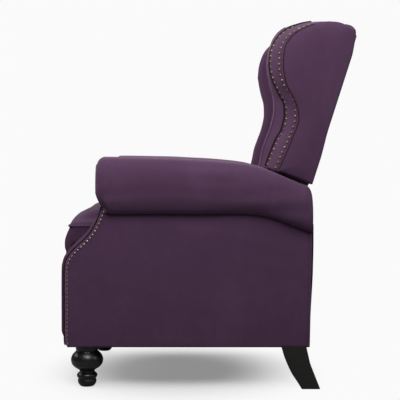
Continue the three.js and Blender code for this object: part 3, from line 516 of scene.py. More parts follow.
@dataclass
class EffectGroups:
    """Shader node groups that several finishes share, each built once."""

    strokes: Noise = Noise(7.0, 4.0, (1.0, 1.0, 0.6))
    patches: Noise = Noise(46.0, 3.0)
    tufts: Noise = Noise(620.0, 2.0)
    weave: Noise = Noise(260.0, 2.0, (1.0, 1.0, 0.35))
    boards: Noise = Noise(9.0, 5.0, (6.0, 1.0, 6.0))
    pores: Noise = Noise(90.0, 2.0, (6.0, 0.6, 6.0))
    clouds: Noise = Noise(60.0, 4.0)
    specks: Noise = Noise(700.0, 2.0)
    bands: float = 6.0
    cloud_range: tuple[float, float] = (0.35, 0.68)

    @staticmethod
    def _start(name: str, inputs: Inputs) -> tuple[Wiring, bpy.types.NodeOutputs, Socket]:
        """Makes a group with named inputs and with the outputs that every effect has.

        Args:
            name: the group's name.
            inputs: the default of each input: a colour or a number.

        Returns:
            the group's wiring, the values that the group is given, and the object's coordinates.
        """
        tree = bpy.data.node_groups.new(name, "ShaderNodeTree")
        for label, default in inputs.items():
            kind = "NodeSocketColor" if isinstance(default, tuple) else "NodeSocketFloat"
            socket = tree.interface.new_socket(name=label, in_out="INPUT", socket_type=kind)
            socket.default_value = default
        for label, kind in (("Color", "Color"), ("Roughness", "Float"), ("Height", "Float")):
            tree.interface.new_socket(name=label, in_out="OUTPUT", socket_type="NodeSocket" + kind)
        wires = Wiring(tree)
        return wires, tree.nodes.new("NodeGroupInput").outputs, wires.object_coords()

    @staticmethod
    def _end(wires: Wiring, color: Socket, rough: Socket, height: Socket) -> NodeTree:
        """Links a group's results to its outputs.

        Args:
            wires: the group's wiring.
            color: its colour.
            rough: its roughness.
            height: its height for bump.

        Returns:
            the finished group.
        """
        out = wires.tree.nodes.new("NodeGroupOutput")
        wires.feed(out, {"Color": color, "Roughness": rough, "Height": height})
        return wires.tree

    @cached_property
    def nap(self) -> NodeTree:
        """Brushed short pile: broad paler and darker strokes, fine tufts, and a height for bump.

        The share of the brushed colour is the broad noise, drawn out along z, less 0.42 and times 2.6,
        plus the middle and the fine noise about their means, all times the strokes' strength.

        Returns:
            the group.
        """
        wires, given, coords = self._start(
            "brushed_nap",
            {"Color": grey(0.1), "Brushed Color": grey(0.2), "Strokes": 0.5, "Roughness": 0.8},
        )
        broad, middle = wires.noise(coords, self.strokes), wires.noise(coords, self.patches)
        fine, weave = wires.noise(coords, self.tufts), wires.noise(coords, self.weave)
        stroke = wires.math("MULTIPLY", wires.math("SUBTRACT", broad, 0.42), 2.6)
        part = wires.math("MULTIPLY", wires.math("SUBTRACT", middle, 0.5), 1.1)
        grain = wires.math("MULTIPLY", wires.math("SUBTRACT", fine, 0.5), 1.3)
        total = wires.math("ADD", wires.math("ADD", stroke, part), grain)
        amount = wires.math("MULTIPLY", total, given["Strokes"], clamp=True)
        color = wires.mix(amount, given["Color"], given["Brushed Color"])
        rough = wires.math("ADD", given["Roughness"], wires.math("MULTIPLY", part, 0.08))
        height = wires.math("ADD", wires.math("MULTIPLY", fine, 0.5), wires.math("MULTIPLY", weave, 0.5))
        return self._end(wires, color, rough, height)

    @cached_property
    def grain(self) -> NodeTree:
        """Wood grain: noise drawn out along the board, with darker pores, and a height for bump.

        The share of the dark colour is 0.55 of the saw-toothed broad noise and 0.45 of the pores.

        Returns:
            the group.
        """
        wires, given, coords = self._start(
            "wood_grain", {"Light": (0.5, 0.4, 0.3, 1.0), "Dark": (0.3, 0.2, 0.1, 1.0), "Roughness": 0.6}
        )
        rings, pores = wires.noise(coords, self.boards), wires.noise(coords, self.pores)
        band = wires.math("FRACT", wires.math("MULTIPLY", rings, self.bands), 0.0)
        mask = wires.math("ADD", wires.math("MULTIPLY", band, 0.55), wires.math("MULTIPLY", pores, 0.45))
        color = wires.mix(mask, given["Light"], given["Dark"])
        rough = wires.math("ADD", given["Roughness"], wires.math("MULTIPLY", pores, 0.12))
        return self._end(wires, color, rough, mask)

    @cached_property
    def patina(self) -> NodeTree:
        """Worn metal: cloudy darker patches that are also rougher, fine specks, and a height for bump.

        Returns:
            the group.
        """
        wires, given, coords = self._start(
            "patina", {"Clean": grey(0.5), "Worn": grey(0.2), "Roughness": 0.4, "Spread": 0.25}
        )
        clouds, specks = wires.noise(coords, self.clouds), wires.noise(coords, self.specks)
        low, high = self.cloud_range
        mask = wires.node("MapRange", {"Value": clouds, "From Min": low, "From Max": high}).outputs["Result"]
        color = wires.mix(mask, given["Clean"], given["Worn"])
        rough = wires.math("ADD", given["Roughness"], wires.math("MULTIPLY", mask, given["Spread"]))
        return self._end(wires, color, rough, specks)


def make_material(
    name: str, group: NodeTree, values: Inputs, look: Inputs, bump: float, reach: float
) -> Material:
    """Makes a material whose Principled shader takes colour, roughness and bump from a group.

    Args:
        name: the material's name.
        group: the effect's node group, with Color, Roughness and Height outputs.
        values: values for the group's inputs.
        look: values for the shader's other inputs.
        bump: the bump's strength.
        reach: the bump's height in metres.

    Returns:
        the material.
    """
    material = bpy.data.materials.new(name)
    material.use_nodes = True
    wires = Wiring(material.node_tree)
    effect = wires.node("Group", node_tree=group)
    wires.feed(effect, values)
    lift = wires.node("Bump", {"Strength": bump, "Distance": reach, "Height": effect.outputs["Height"]})
    surface = {"Base Color": effect.outputs["Color"], "Roughness": effect.outputs["Roughness"]}
    shader = wires.tree.nodes["Principled BSDF"]
    wires.feed(shader, {**surface, **look, "Normal": lift.outputs["Normal"]})
    return material


@dataclass(frozen=True)
class NapCloth:
    """A short-pile cloth that pales where it is brushed and at grazing light."""

    name: str
    color: Color
    brushed: Color
    strokes: float
    roughness: float
    sheen: float
    sheen_tint: Color
    gloss: float = 0.18
    sheen_roughness: float = 0.45
    bump: float = 0.35
    pile: float = 0.0006

    def build(self, groups: EffectGroups) -> Material:
        """Builds the material from the shared nap group.

        Args:
            groups: the shared effects.

        Returns:
            the material.
        """
        values = {
            "Color": rgba(self.color),
            "Brushed Color": rgba(self.brushed),
            "Strokes": self.strokes,
            "Roughness": self.roughness,
        }
        look = {
            "Specular IOR Level": self.gloss,
            "Sheen Weight": self.sheen,
            "Sheen Roughness": self.sheen_roughness,
            "Sheen Tint": rgba(self.sheen_tint),
        }
        return make_material(self.name, groups.nap, values, look, self.bump, self.pile)


@dataclass(frozen=True)
class Wood:
    """A wood, bare or lacquered."""

    name: str
    light: Color
    dark: Color
    roughness: float
    bump: float
    coat: float = 0.0
    coat_roughness: float = 0.12
    pore_depth: float = 0.0004

    def build(self, groups: EffectGroups) -> Material:
        """Builds the material from the shared grain group.

        Args:
            groups: the shared effects.

        Returns:
            the material.
        """
        values = {"Light": rgba(self.light), "Dark": rgba(self.dark), "Roughness": self.roughness}
        look = {"Coat Weight": self.coat, "Coat Roughness": self.coat_roughness}
        return make_material(self.name, groups.grain, values, look, self.bump, self.pore_depth)


@dataclass(frozen=True)
class Metal:
    """A metal or metal coating with a patina."""

    name: str
    clean: Color
    worn: Color
    roughness: float
    spread: float = 0.25
    metallic: float = 1.0
    bump: float = 0.2
    speck_height: float = 0.0002

    def build(self, groups: EffectGroups) -> Material:
        """Builds the material from the shared patina group.

        Args:
            groups: the shared effects.

        Returns:
            the material.
        """
        values = {
            "Clean": rgba(self.clean),
            "Worn": rgba(self.worn),
            "Roughness": self.roughness,
            "Spread": self.spread,
        }
        look = {"Metallic": self.metallic}
        return make_material(self.name, groups.patina, values, look, self.bump, self.speck_height)


PLUM_SHEEN = (0.95, 0.72, 0.95)


class Finish(Enum):
    """The chair's finishes: its cloths, woods and metals, with a darker and a paler copy of the plum cloth, a
    near-black tape and a paler brass that paint shade and highlights.
    """

    PLUM = NapCloth(
        "plum_nap_cloth", color=(0.078, 0.0355, 0.0778), brushed=(0.122, 0.061, 0.1205),
        strokes=0.40, roughness=0.86, sheen=0.14, sheen_tint=PLUM_SHEEN,
    )
    # Painted shade: the plum cloth darkened to about 0.8 and nearly without sheen, for the arm borders, the
    # seat pad and the back's tail.
    PLUM_PAINTED_SHADE = NapCloth(
        "plum_painted_shade_cloth", color=(0.064, 0.0288, 0.0622), brushed=(0.098, 0.048, 0.0943),
        strokes=0.40, roughness=0.92, sheen=0.02, sheen_tint=PLUM_SHEEN,
    )
    # Painted highlight: a paler plum with more sheen on the border and crest welts, standing in for the light
    # caught along those edges.
    WELT_PAINTED_HIGHLIGHT = NapCloth(
        "plum_welt_painted_highlight_cloth", color=(0.138, 0.066, 0.132), brushed=(0.20, 0.106, 0.195),
        strokes=0.3, roughness=0.8, sheen=0.2, sheen_tint=(0.95, 0.75, 0.95),
    )
    # Painted shade: a near-black tape laid where the wing band and the arm border show only a shaded groove.
    GIMP_PAINTED_SHADE = NapCloth(
        "gimp_painted_shade_cloth", color=(0.014, 0.007, 0.014), brushed=(0.022, 0.012, 0.022),
        strokes=0.3, roughness=0.9, sheen=0.0, sheen_tint=(0.9, 0.8, 0.9),
    )
    LINING = NapCloth(
        "black_lining_cloth", color=(0.006, 0.006, 0.007), brushed=(0.012, 0.011, 0.013),
        strokes=0.3, roughness=0.85, sheen=0.1, sheen_tint=(0.8, 0.8, 0.85),
    )
    TIMBER = Wood(
        "bare_hardwood", light=(0.105, 0.068, 0.042), dark=(0.062, 0.04, 0.024), roughness=0.62, bump=0.25
    )
    LACQUER = Wood(
        "black_lacquer", light=(0.007, 0.0065, 0.0055), dark=(0.003, 0.003, 0.0025),
        roughness=0.32, coat=0.22, bump=0.05,
    )
    SATIN = Wood(
        "black_satin", light=(0.012, 0.0115, 0.010), dark=(0.007, 0.0065, 0.006), roughness=0.5, bump=0.06
    )
    STEEL = Metal(
        "black_coated_steel", clean=(0.030, 0.030, 0.032), worn=(0.060, 0.058, 0.055),
        roughness=0.38, spread=0.2, metallic=0.55,
    )
    RIVET = Metal("zinc_rivet", clean=(0.45, 0.44, 0.42), worn=(0.28, 0.27, 0.25), roughness=0.33)
    BRASS = Metal("antique_brass", clean=(0.31, 0.235, 0.11), worn=(0.13, 0.095, 0.05), roughness=0.42)
    # Partly painted highlight: the nails are brass, made paler on the side rows to stand in for glints on
    # heads seen edge-on.
    BRASS_PAINTED_HIGHLIGHT = Metal(
        "brass_painted_highlight", clean=(0.60, 0.48, 0.38), worn=(0.38, 0.30, 0.22),
        roughness=0.4, spread=0.2, metallic=0.7,
    )


# Stuffing


Mask = Callable[[Array], Array]


@dataclass(frozen=True)
class Stuffing:
    """Swells a closed cover like a filled cushion, with cloth under air pressure and no gravity."""

    free: Mask
    cap: float = 24.0
    voxel: float = 6.0
    shrink: float = 4.0
    pressure: float = 4.0
    frames: int = 20

    @staticmethod
    def _rows(mesh: bpy.types.Mesh, kind: str) -> Array:
        """Reads one row for each of the mesh's points.

        Args:
            mesh: the mesh to read.
            kind: "co" for places or "normal" for normals.

        Returns:
            the rows.
        """
        values = np.zeros(len(mesh.vertices) * 3)
        mesh.vertices.foreach_get(kind, values)
        return values.reshape(-1, 3)

    @staticmethod
    def _bake(piece: bpy.types.Object) -> bpy.types.Mesh:
        """Copies the piece's mesh as its modifiers leave it, and takes the modifiers off.

        Args:
            piece: the piece, whose mesh is replaced by the copy.

        Returns:
            the new mesh.
        """
        bpy.context.view_layer.update()
        graph = bpy.context.evaluated_depsgraph_get()
        mesh = bpy.data.meshes.new_from_object(piece.evaluated_get(graph))
        piece.modifiers.clear()
        piece.data = mesh
        return mesh

    def swell(self, piece: bpy.types.Object) -> None:
        """Remeshes the cover, lets it swell, caps and masks the motion, and smooths the result.

        Each point's motion is shortened to the cap and then scaled by the mask of its rest place, so
        that the seams and the hidden faces stay where they were.

        Args:
            piece: the closed cover, replaced by its swollen form.
        """
        shell = piece.modifiers.new("shell", "REMESH")
        shell.mode = "VOXEL"
        shell.voxel_size = self.voxel * MM
        mesh = self._bake(piece)
        rest = self._rows(mesh, "co")
        share = self.free(rest / MM)[:, None]
        start = rest - self._rows(mesh, "normal") * self.shrink * MM * share
        mesh.vertices.foreach_set("co", start.ravel())
        mesh.update()
        air = piece.modifiers.new("air", "CLOTH")
        air.settings.use_pressure = True
        air.settings.uniform_pressure_force = self.pressure
        air.settings.effector_weights.gravity = 0.0
        air.point_cache.frame_start = 1
        air.point_cache.frame_end = self.frames
        scene = bpy.context.scene
        for frame in range(1, self.frames + 1):
            scene.frame_set(frame)
        swollen = piece.evaluated_get(bpy.context.evaluated_depsgraph_get())
        motion = self._rows(swollen.data, "co") - start
        piece.modifiers.clear()
        scene.frame_set(1)
        length = np.linalg.norm(motion, axis=1, keepdims=True)
        motion *= np.minimum(1.0, self.cap * MM / np.maximum(length, 1e-9)) * share
        mesh.vertices.foreach_set("co", (start + motion).ravel())
        mesh.update()
        most = float(np.linalg.norm(motion, axis=1).max()) / MM
        log.info("%s swelled by up to %.1f mm", piece.name, most)
        finer = piece.modifiers.new("finer", "SUBSURF")
        finer.levels = 1
        self._bake(piece)


# Pieces


@dataclass
class Workshop:
    """Turns skins into named pieces that ride on the frame, and keeps the materials, each built once."""

    groups: EffectGroups = field(default_factory=EffectGroups)
    made: dict[Finish, Material] = field(default_factory=dict)

    def material(self, finish: Finish) -> Material:
        """The material of a finish, built when it is first asked for.

        Args:
            finish: the finish.

        Returns:
            its material.
        """
        if finish not in self.made:
            self.made[finish] = finish.value.build(self.groups)
        return self.made[finish]

    def add(
        self, name: str, skin: Skin, finish: Finish, body: Body, stands_for: str = "", crease: float = 50.0,
        fill: float | None = None, stuffing: Stuffing | None = None,
    ) -> bpy.types.Object:
        """Makes a piece in metres at the origin, sets it on its body and hides the CAD node that it replaces.

        Args:
            name: the piece's name.
            skin: its closed mesh in millimetres.
            finish: its finish.
            body: the body that it rides on.
            stands_for: the CAD node that it replaces.
            crease: edges sharper than this angle, in degrees, stay sharp.
            fill: how full it is where it is a padded piece; not used.
            stuffing: how it swells, where its form is simulated.

        Returns:
            the new object.
        """
        mesh = bpy.data.meshes.new(name)
        mesh.from_pydata((skin.points * MM).tolist(), [], skin.faces)
        mesh.validate()
        mesh.polygons.foreach_set("use_smooth", np.ones(len(mesh.polygons), dtype=bool))
        mesh.set_sharp_from_angle(angle=math.radians(crease))
        mesh.materials.append(self.material(finish))
        mesh.update()
        piece = bpy.data.objects.new(name, mesh)
        bpy.context.scene.collection.objects.link(piece)
        if stuffing is not None:
            stuffing.swell(piece)
            mesh = piece.data
            mesh.polygons.foreach_set("use_smooth", np.ones(len(mesh.polygons), dtype=bool))
        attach(piece, body.value)
        if stands_for:
            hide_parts(stands_for)
        log.info("%s: %d points", name, len(mesh.vertices))
        return piece

    def add_pair(self, name: str, skin: Skin, finish: Finish, body: Body, **words: object) -> None:
        """Makes a left piece and its mirror image.

        Args:
            name: the pieces' name, which is completed with the side.
            skin: the left piece's closed mesh in millimetres.
            finish: their finish.
            body: the body that they ride on.
            words: what else add takes; the name in stands_for is completed with the side.
        """
        node = words.pop("stands_for", "")
        for side, half in (("left", skin), ("right", skin.mirrored())):
            own = f"{node}_{side}" if node else ""
            self.add(f"{name}_{side}", half, finish, body, stands_for=own, **words)


@dataclass(frozen=True)
class ChairLines:
    """Lines of the chair that several sub-assemblies share."""

    base_bottom: float = 118.0
    cloth_bottom: float = 115.8
    side_outer: float = 316.0
    border_inner: float = 262.0
    arm_front: float = -313.5
    arm_rear: float = 289.5
    seam_level: float = 490.0
    arm_level: float = 648.5
    sweep_top: float = 508.0
    base_rear: float = 287.0
    base_rear_foot: float = 281.0
    base_knee: float = 400.0
    rake: float = math.tan(math.radians(17.7))
    rake_y: float = 283.0
    rake_z: float = 565.4
    frame_top: float = 970.6

    def seam_z(self, y: Array) -> Array:
        """Height of the seam under the arm roll at y: level, then falling along a smooth curve."""
        fall = [(105, 489.5), (170, 481), (213, 466.5), (248, 453.5), (274, 443.5), (300, 433)]
        return read_curve([(-420, self.seam_level), (0, self.seam_level), *fall], 200, y)

    def roll_z(self, y: Array) -> Array:
        """Height of the top of the arm roll at y: level, then falling along a smooth curve."""
        fall = [(-123, 647.5), (-65, 644), (30, 637.5), (123, 627.5), (172, 611.5), (221, 590.5), (260, 574)]
        return read_curve([(-420, self.arm_level), (-215, self.arm_level), *fall, (300, 561)], 240, y)

    def rear_y(self, z: Array) -> Array:
        """Rear face of the back at z: a straight rake, less a round that grows near the top."""
        fall = [(900, 0), (970, 0), (988, 2), (1002, 6), (1012, 13), (1020, 24), (1027, 42), (1032, 64)]
        return self.rake_y + (z - self.rake_z) * self.rake - read_curve([(0, 0), *fall, (1036, 90)], 300, z)

    def base_rear_y(self, z: Array) -> Array:
        """Rear edge of the base at z: drawn in towards the floor, straight above the knee."""
        return np.interp(z, [self.base_bottom, self.base_knee], [self.base_rear_foot, self.base_rear])

    def sweep(self, count: int, top: float | None = None) -> Array:
        """Front edge of the side, as (y, z) from the base's bottom up to a given level.

        Args:
            count: number of points wanted.
            top: the level at which the edge is cut off, where that isn't its own top.

        Returns:
            points along the edge.
        """
        line = [
            (-391.5, self.cloth_bottom), (-396, 124), (-398.3, 138), (-398.5, 200), (-398.5, 290),
            (-397.8, 338), (-395.5, 352), (-391, 365), (-380, 380), (-368.7, 392.5), (-356.7, 403.3),
            (-345.9, 413.3), (-335.4, 424), (-325.1, 436.5), (-313.1, 457.3), (-302.3, 481),
            (-298.5, 492), (-295.5, self.sweep_top),
        ]
        curve = smooth_curve(line, 900)
        return resample(curve[curve[:, 1] <= (self.sweep_top if top is None else top)], count)


LINES = ChairLines()


@dataclass
class BaseShell:
    """The upholstered base: side panels, front borders, arm rolls and the rear cover."""

    shop: Workshop
    panel_inner: float = 299.0
    panel_outer: float = 313.0
    panel_extent: tuple[float, float] = (620.0, 350.0)
    panel_rear_top: float = 440.0
    panel_edge: float = 5.0
    seam_slack: float = 3.5
    seam_gap: float = 0.5
    puff: float = 4.5
    welt: float = 3.0
    welt_top: float = 452.0
    border_lift: float = 13.0
    border_cord: float = 2.0
    # The near-black tape beside the border's outer welt is painted shade of a groove.
    shade_tape_radius: float = 2.2
    shade_tape_rise: float = 4.2
    cord_start: float = 122.0
    shade_tape_start: float = 124.0
    roll_middle: float = 298.0
    roll_half: float = 52.0
    roll_points: int = 84
    ear_rise: float = 31.0
    ear_start: float = 270.0
    apron_inner: float = 256.0
    apron_thickness: float = 18.0
    apron_depth: float = 40.0
    front_dome: float = 22.0
    face_shares: tuple[float, ...] = (0.05, 0.2, 0.36, 0.5, 0.62, 0.69)
    rim_share: float = 0.72
    face_inset: float = 3.0
    scroll_welt: float = 2.4
    tuck: float = 21.0
    waist: float = 550.0
    waist_depth: float = 50.0
    rear_dome: float = 18.0
    rear_middle: float = 275.0
    nail_radius: float = 4.3
    side_nail_radius: float = 5.1
    side_nail_count: int = 36
    side_nail_inset: float = 3.8
    side_nail_start: float = 126.0
    scroll_nail_count: int = 17
    scroll_nail_share: float = 0.86
    drag: float = 0.9
    cover_half: float = 314.0
    cover_top: float = 431.5
    cover_extent: tuple[float, float] = (630.0, 310.0)
    cover_edge: float = 1.8

    def build(self) -> None:
        """Builds every piece of the base's upholstery."""
        self.side_panels()
        self.borders()
        self.side_nails()
        self.arm_rolls()
        self.rear_cover()

    @staticmethod
    def _side_waves(y: Array, z: Array, v: Array) -> Array:
        """Slow and fine waves of the stretched side cloth: sines over y and z, which grow with height v."""
        slow = 0.7 * np.sin(y / 47 + 1.3 * v) * v + 0.5 * np.sin(z / 31 + y / 90)
        return slow + 0.55 * np.sin(z / 9.5 + y / 55) * (0.5 + 0.5 * np.sin(y / 80 + z / 60)) * v

    def side_panels(self) -> None:
        """The outer side: a Coons patch between sweep, seam, rear edge and foot, puffed outwards.

        Its height over the board is a product of sines to a small power, less a quarter-round at the
        edges, plus waves from the stretch of the cloth. A welt runs down its rear edge.
        """
        us, vs = edge_steps(90, 0.86), edge_steps(60, 0.82)
        steps = 400
        sweep = resample(LINES.sweep(steps, LINES.seam_level), steps)
        front = sweep[np.round(vs * (steps - 1)).astype(int)]
        rear_z = LINES.cloth_bottom + vs * (self.panel_rear_top - LINES.cloth_bottom)
        rear = np.column_stack([LINES.base_rear_y(rear_z) - 1.0, rear_z])
        bottom_y = front[0, 0] + us * (rear[0, 0] - front[0, 0])
        bottom = np.column_stack([bottom_y, np.full(len(us), LINES.cloth_bottom)])
        top_y = front[-1, 0] + us * (rear[-1, 0] - front[-1, 0])
        top = np.column_stack([top_y, LINES.seam_z(top_y) - self.seam_gap])
        rear[-1] = top[-1]
        plan = blend_patch(bottom, top, front, rear, us, vs)
        u, v = np.meshgrid(us, vs)
        swell = self.puff * (np.sin(np.pi * u) ** 0.35) * (np.sin(np.pi * v) ** 0.5)
        length, height = self.panel_extent
        ends = np.minimum(v * height, (1 - v) * height + self.seam_slack)
        edge = np.minimum(np.minimum(u, 1 - u) * length, ends)
        waves = self._side_waves(plan[..., 0], plan[..., 1], v) * ease(edge / 40)
        x = self.panel_outer + swell - edge_drop(edge, self.panel_edge) + waves
        face = np.dstack([x, plan])
        back = np.stack([face[:, -1], face[:, 0]], axis=1)
        back[..., 0] = self.panel_inner
        cover = panel_skin(face, back)
        self.shop.add_pair("side_cover", cover, Finish.PLUM, Body.BASE, stands_for="side_panel", fill=0.4)
        line_z = np.linspace(LINES.base_bottom + 2, self.welt_top, 60)
        line = at_x(LINES.side_outer - 2.4, np.column_stack([LINES.base_rear_y(line_z) - 0.8, line_z]))
        cord = tube_skin(line, self.welt, (1, 0, 0))
        self.shop.add_pair("side_welt", cord, Finish.PLUM, Body.BASE)

    def borders(self) -> None:
        """The padded border in front of each arm: an arched section carried along the sweep.

        Across X the section rises from both edges as a flattened ellipse, and the pad leaves the
        sweep square to its slope; its cloth is the darker plum copy, which paints shade. A welt in the
        paler plum copy, a painted highlight, runs along each edge, and a near-black tape beside the
        outer one paints the shade of a groove.
        """
        path = LINES.sweep(110)
        out = -beside(path)
        w = edge_steps(34, 0.7)
        x = LINES.border_inner + 0.6 + w * (LINES.side_outer - LINES.border_inner - 2.0)
        arch = (1 - np.abs(2 * w - 1) ** 3.2) ** 0.5
        ends = ease((path[:, 1] - 126) / 38) * (1 - 0.75 * ease((path[:, 1] - 445) / 62))
        lift = 1.0 + self.border_lift * arch[None] * ends[:, None]
        yz = path[:, None] + out[:, None] * lift[..., None]
        foot = LINES.cloth_bottom + 0.4
        yz[..., 1] = np.maximum(yz[..., 1], foot)
        face = np.dstack([np.broadcast_to(x, yz.shape[:2]), yz])
        back_yz = path - out * 0.6
        back_yz[:, 1] = np.maximum(back_yz[:, 1], foot)
        back = np.stack([at_x(x[-1], back_yz), at_x(x[0], back_yz)], axis=1)
        # The border's darker plum copy is painted shade.
        self.shop.add_pair(
            "arm_border", panel_skin(face, back), Finish.PLUM_PAINTED_SHADE, Body.BASE, stands_for="front_border",
            fill=0.5,
        )
        cords = []
        for place, rise in ((LINES.side_outer - 1.6, -0.2), (LINES.border_inner + 2.2, 3.0)):
            line = path + out * rise
            line = line[line[:, 1] > self.cord_start]
            cords.append(tube_skin(at_x(place, line), self.border_cord, (1, 0, 0)))
        # The border welts' paler plum is a painted highlight.
        self.shop.add_pair("border_welt", Skin.joined(cords), Finish.WELT_PAINTED_HIGHLIGHT, Body.BASE)
        # The near-black tape beside the outer welt is painted shade of a groove.
        shade_tape_line = (path + out * self.shade_tape_rise)[path[:, 1] > self.shade_tape_start]
        tape = tube_skin(at_x(self.panel_outer, shade_tape_line), self.shade_tape_radius, (1, 0, 0))
        self.shop.add_pair("border_painted_shade_tape", tape, Finish.GIMP_PAINTED_SHADE, Body.BASE)

    def side_nails(self) -> None:
        """A row of nails on the side beside the border, each turned a little towards the front, in a paler
        brass that is partly painted highlight.
        """
        path = LINES.sweep(110)
        inner = path + beside(path) * self.side_nail_inset
        inner = resample(inner[inner[:, 1] > self.side_nail_start], self.side_nail_count)
        places, normals = at_x(self.panel_outer, inner), at_x(0.36, -0.93 * beside(inner))
        nails = dome_skin(places, normals, self.side_nail_radius, 1.9)
        # The side nails' paler brass is partly painted highlight.
        self.shop.add_pair("side_nails", nails, Finish.BRASS_PAINTED_HIGHLIGHT, Body.BASE, crease=80.0)

    def _section(self, y: Array) -> Array:
        """Sections of the arm across X at each station.

        The roll is a smooth curve through listed shares of its half width and of its height over
        the seam; the apron hangs inside it.

        Args:
            y: the stations along the arm.

        Returns:
            an array of shape (stations, points, 2) as (x, z).
        """
        shares = [
            (0.346, 0.0), (0.7, 0.055), (0.92, 0.21), (1.0, 0.42), (0.97, 0.62), (0.85, 0.8),
            (0.6, 0.935), (0.3, 0.99), (0.0, 1.0), (-0.35, 0.985), (-0.68, 0.915), (-0.9, 0.775),
            (-1.0, 0.6), (-0.97, 0.42), (-0.88, 0.26), (-0.83, 0.12), (-0.81, 0.0),
        ]
        curve = smooth_curve(shares, self.roll_points)
        seam, top = LINES.seam_z(y)[:, None], LINES.roll_z(y)[:, None]
        rows = np.ones_like(seam)
        x = (self.roll_middle + self.roll_half * curve[:, 0]) * rows
        z = seam + (top - seam) * curve[:, 1]
        hangs = ease((y + 303) / 1.5) * (1 - ease((y - 262) / 1.5))
        hem = seam - 0.4 - self.apron_depth * hangs[:, None]
        down = np.linspace(0, 1, 7)[1:]
        inner = (self.apron_inner + 1.5 * np.sin(np.pi * down)) * rows
        outer = (self.apron_inner + self.apron_thickness) * rows
        return np.dstack([
            np.hstack([x, inner, outer, outer]),
            np.hstack([z, seam + (hem - seam) * down, hem, seam - 0.2]),
        ])

    @staticmethod
    def _drag(y: Array, z: Array) -> Array:
        """Faint lengthwise drag lines: two sines over height that drift and fade along the arm."""
        first = 0.5 * np.sin(z / 6.3 + 0.9 * np.sin(y / 83)) * (0.55 + 0.45 * np.sin(y / 61 + z / 40))
        return first + 0.8 * np.sin(z / 10.4 - y / 260 + 1.2) * (0.5 + 0.5 * np.sin(y / 97 - z / 33 + 2.0))

    def _tucked(self, y: Array, z: Array) -> Array:
        """Draws the lower front of the roll in by a power of the depth below the face's waist."""
        low = np.clip((self.waist - z) / self.waist_depth, 0, 1) ** 1.3 * (z > 486)
        return y + self.tuck * low * (1 - ease((y - LINES.arm_front) / 75))

    def _stations(self) -> tuple[Array, Array, Array]:
        """Stations along the arm, and how far the section shrinks at each.

        In front the section shrinks over the rim by the sine of an angle, while y follows one minus
        its cosine, then straight in over the face. At the rear it shrinks by the root of a cosine.

        Returns:
            y of the stations, their scales across, and their scales upwards.
        """
        face = np.array(self.face_shares)
        turn = np.linspace(0.0, 1.0, 14) * np.pi / 2
        rim_y = LINES.arm_front + self.face_inset + self.front_dome * (1 - np.cos(turn))
        face_y = LINES.arm_front + self.face_inset * (face / self.rim_share) ** 2
        front = np.concatenate([face, self.rim_share + (1 - self.rim_share) * np.sin(turn)])
        rear_start = LINES.arm_rear - self.rear_dome
        middle_y = np.linspace(rim_y[-1] + 2.5, rear_start - 2.5, 130)
        rear_turn = np.linspace(0.0, 0.97, 14) * np.pi / 2
        rear = 0.6 + 0.4 * np.cos(rear_turn) ** 0.5
        y = np.concatenate([face_y, rim_y, middle_y, rear_start + self.rear_dome * np.sin(rear_turn)])
        whole = np.ones(len(middle_y))
        return y, np.concatenate([front, whole, 0.45 + 0.55 * rear]), np.concatenate([front, whole, rear])

    def _creases(self, x: Array, y: Array, z: Array, up: Array) -> Array:
        """How far the roll's outer face sinks: a bell-shaped groove and the gathers at the rear.

        Args:
            x, y, z: places on the roll.
            up: their height over the seam as a share of the roll's.

        Returns:
            the depth, less the soft waves and drag lines that stand out.
        """
        outside = ease((x - 300) / 40)
        crease = 3.2 * dent(y - 169 - 10 * (up - 0.3), 4.5) * ease((0.75 - up) / 0.4)
        pull = 0.88 * np.sin(z / 9.5 + 0.4 * np.sin(y / 60)) * ease((y - 20) / 130) * ease((0.9 - up) / 0.3)
        pucker = 1.2 * np.sin((y - 240) / 5.5) * ease((y - 232) / 30) * ease((up - 0.35) / 0.4)
        soft = 0.9 * np.sin(y / 38 + z / 55) + self.drag * self._drag(y, z)
        return (crease + pull + pucker - soft) * outside

    def arm_rolls(self) -> None:
        """The rolled arm: its section carried through the stations, with a scroll face in front.

        In front the section shrinks about the roll's middle, and at the rear towards the seam.
        """
        y, scale, rise = self._stations()
        seam, top = LINES.seam_z(y), LINES.roll_z(y)
        in_front = y < 0
        anchor = np.where(in_front, (seam + top) / 2, seam)
        middle = np.column_stack([np.where(in_front, self.roll_middle, self.rear_middle), anchor])[:, None]
        section = middle + (self._section(y) - middle) * np.column_stack([scale, rise])[:, None]
        x, z = section[..., 0], section[..., 1]
        along = y[:, None]
        up = np.clip((z - seam[:, None]) / (top - seam)[:, None], 0, 1)
        whole = (scale > 0.99)[:, None]
        x = x - self._creases(x, along, z, up) * whole
        top_wave = 0.8 * np.sin(along / 52 + 1.0) * ease((up - 0.8) / 0.2) * whole
        rings = np.dstack([x, self._tucked(along, z), z + top_wave])
        cover = ring_skin(rings)
        self.shop.add_pair("arm_roll_cover", cover, Finish.PLUM, Body.BASE, stands_for="arm_roll", fill=0.7)
        rim = len(self.face_shares)
        self.scroll_trims(rings[rim][: self.roll_points], float(anchor[rim]))

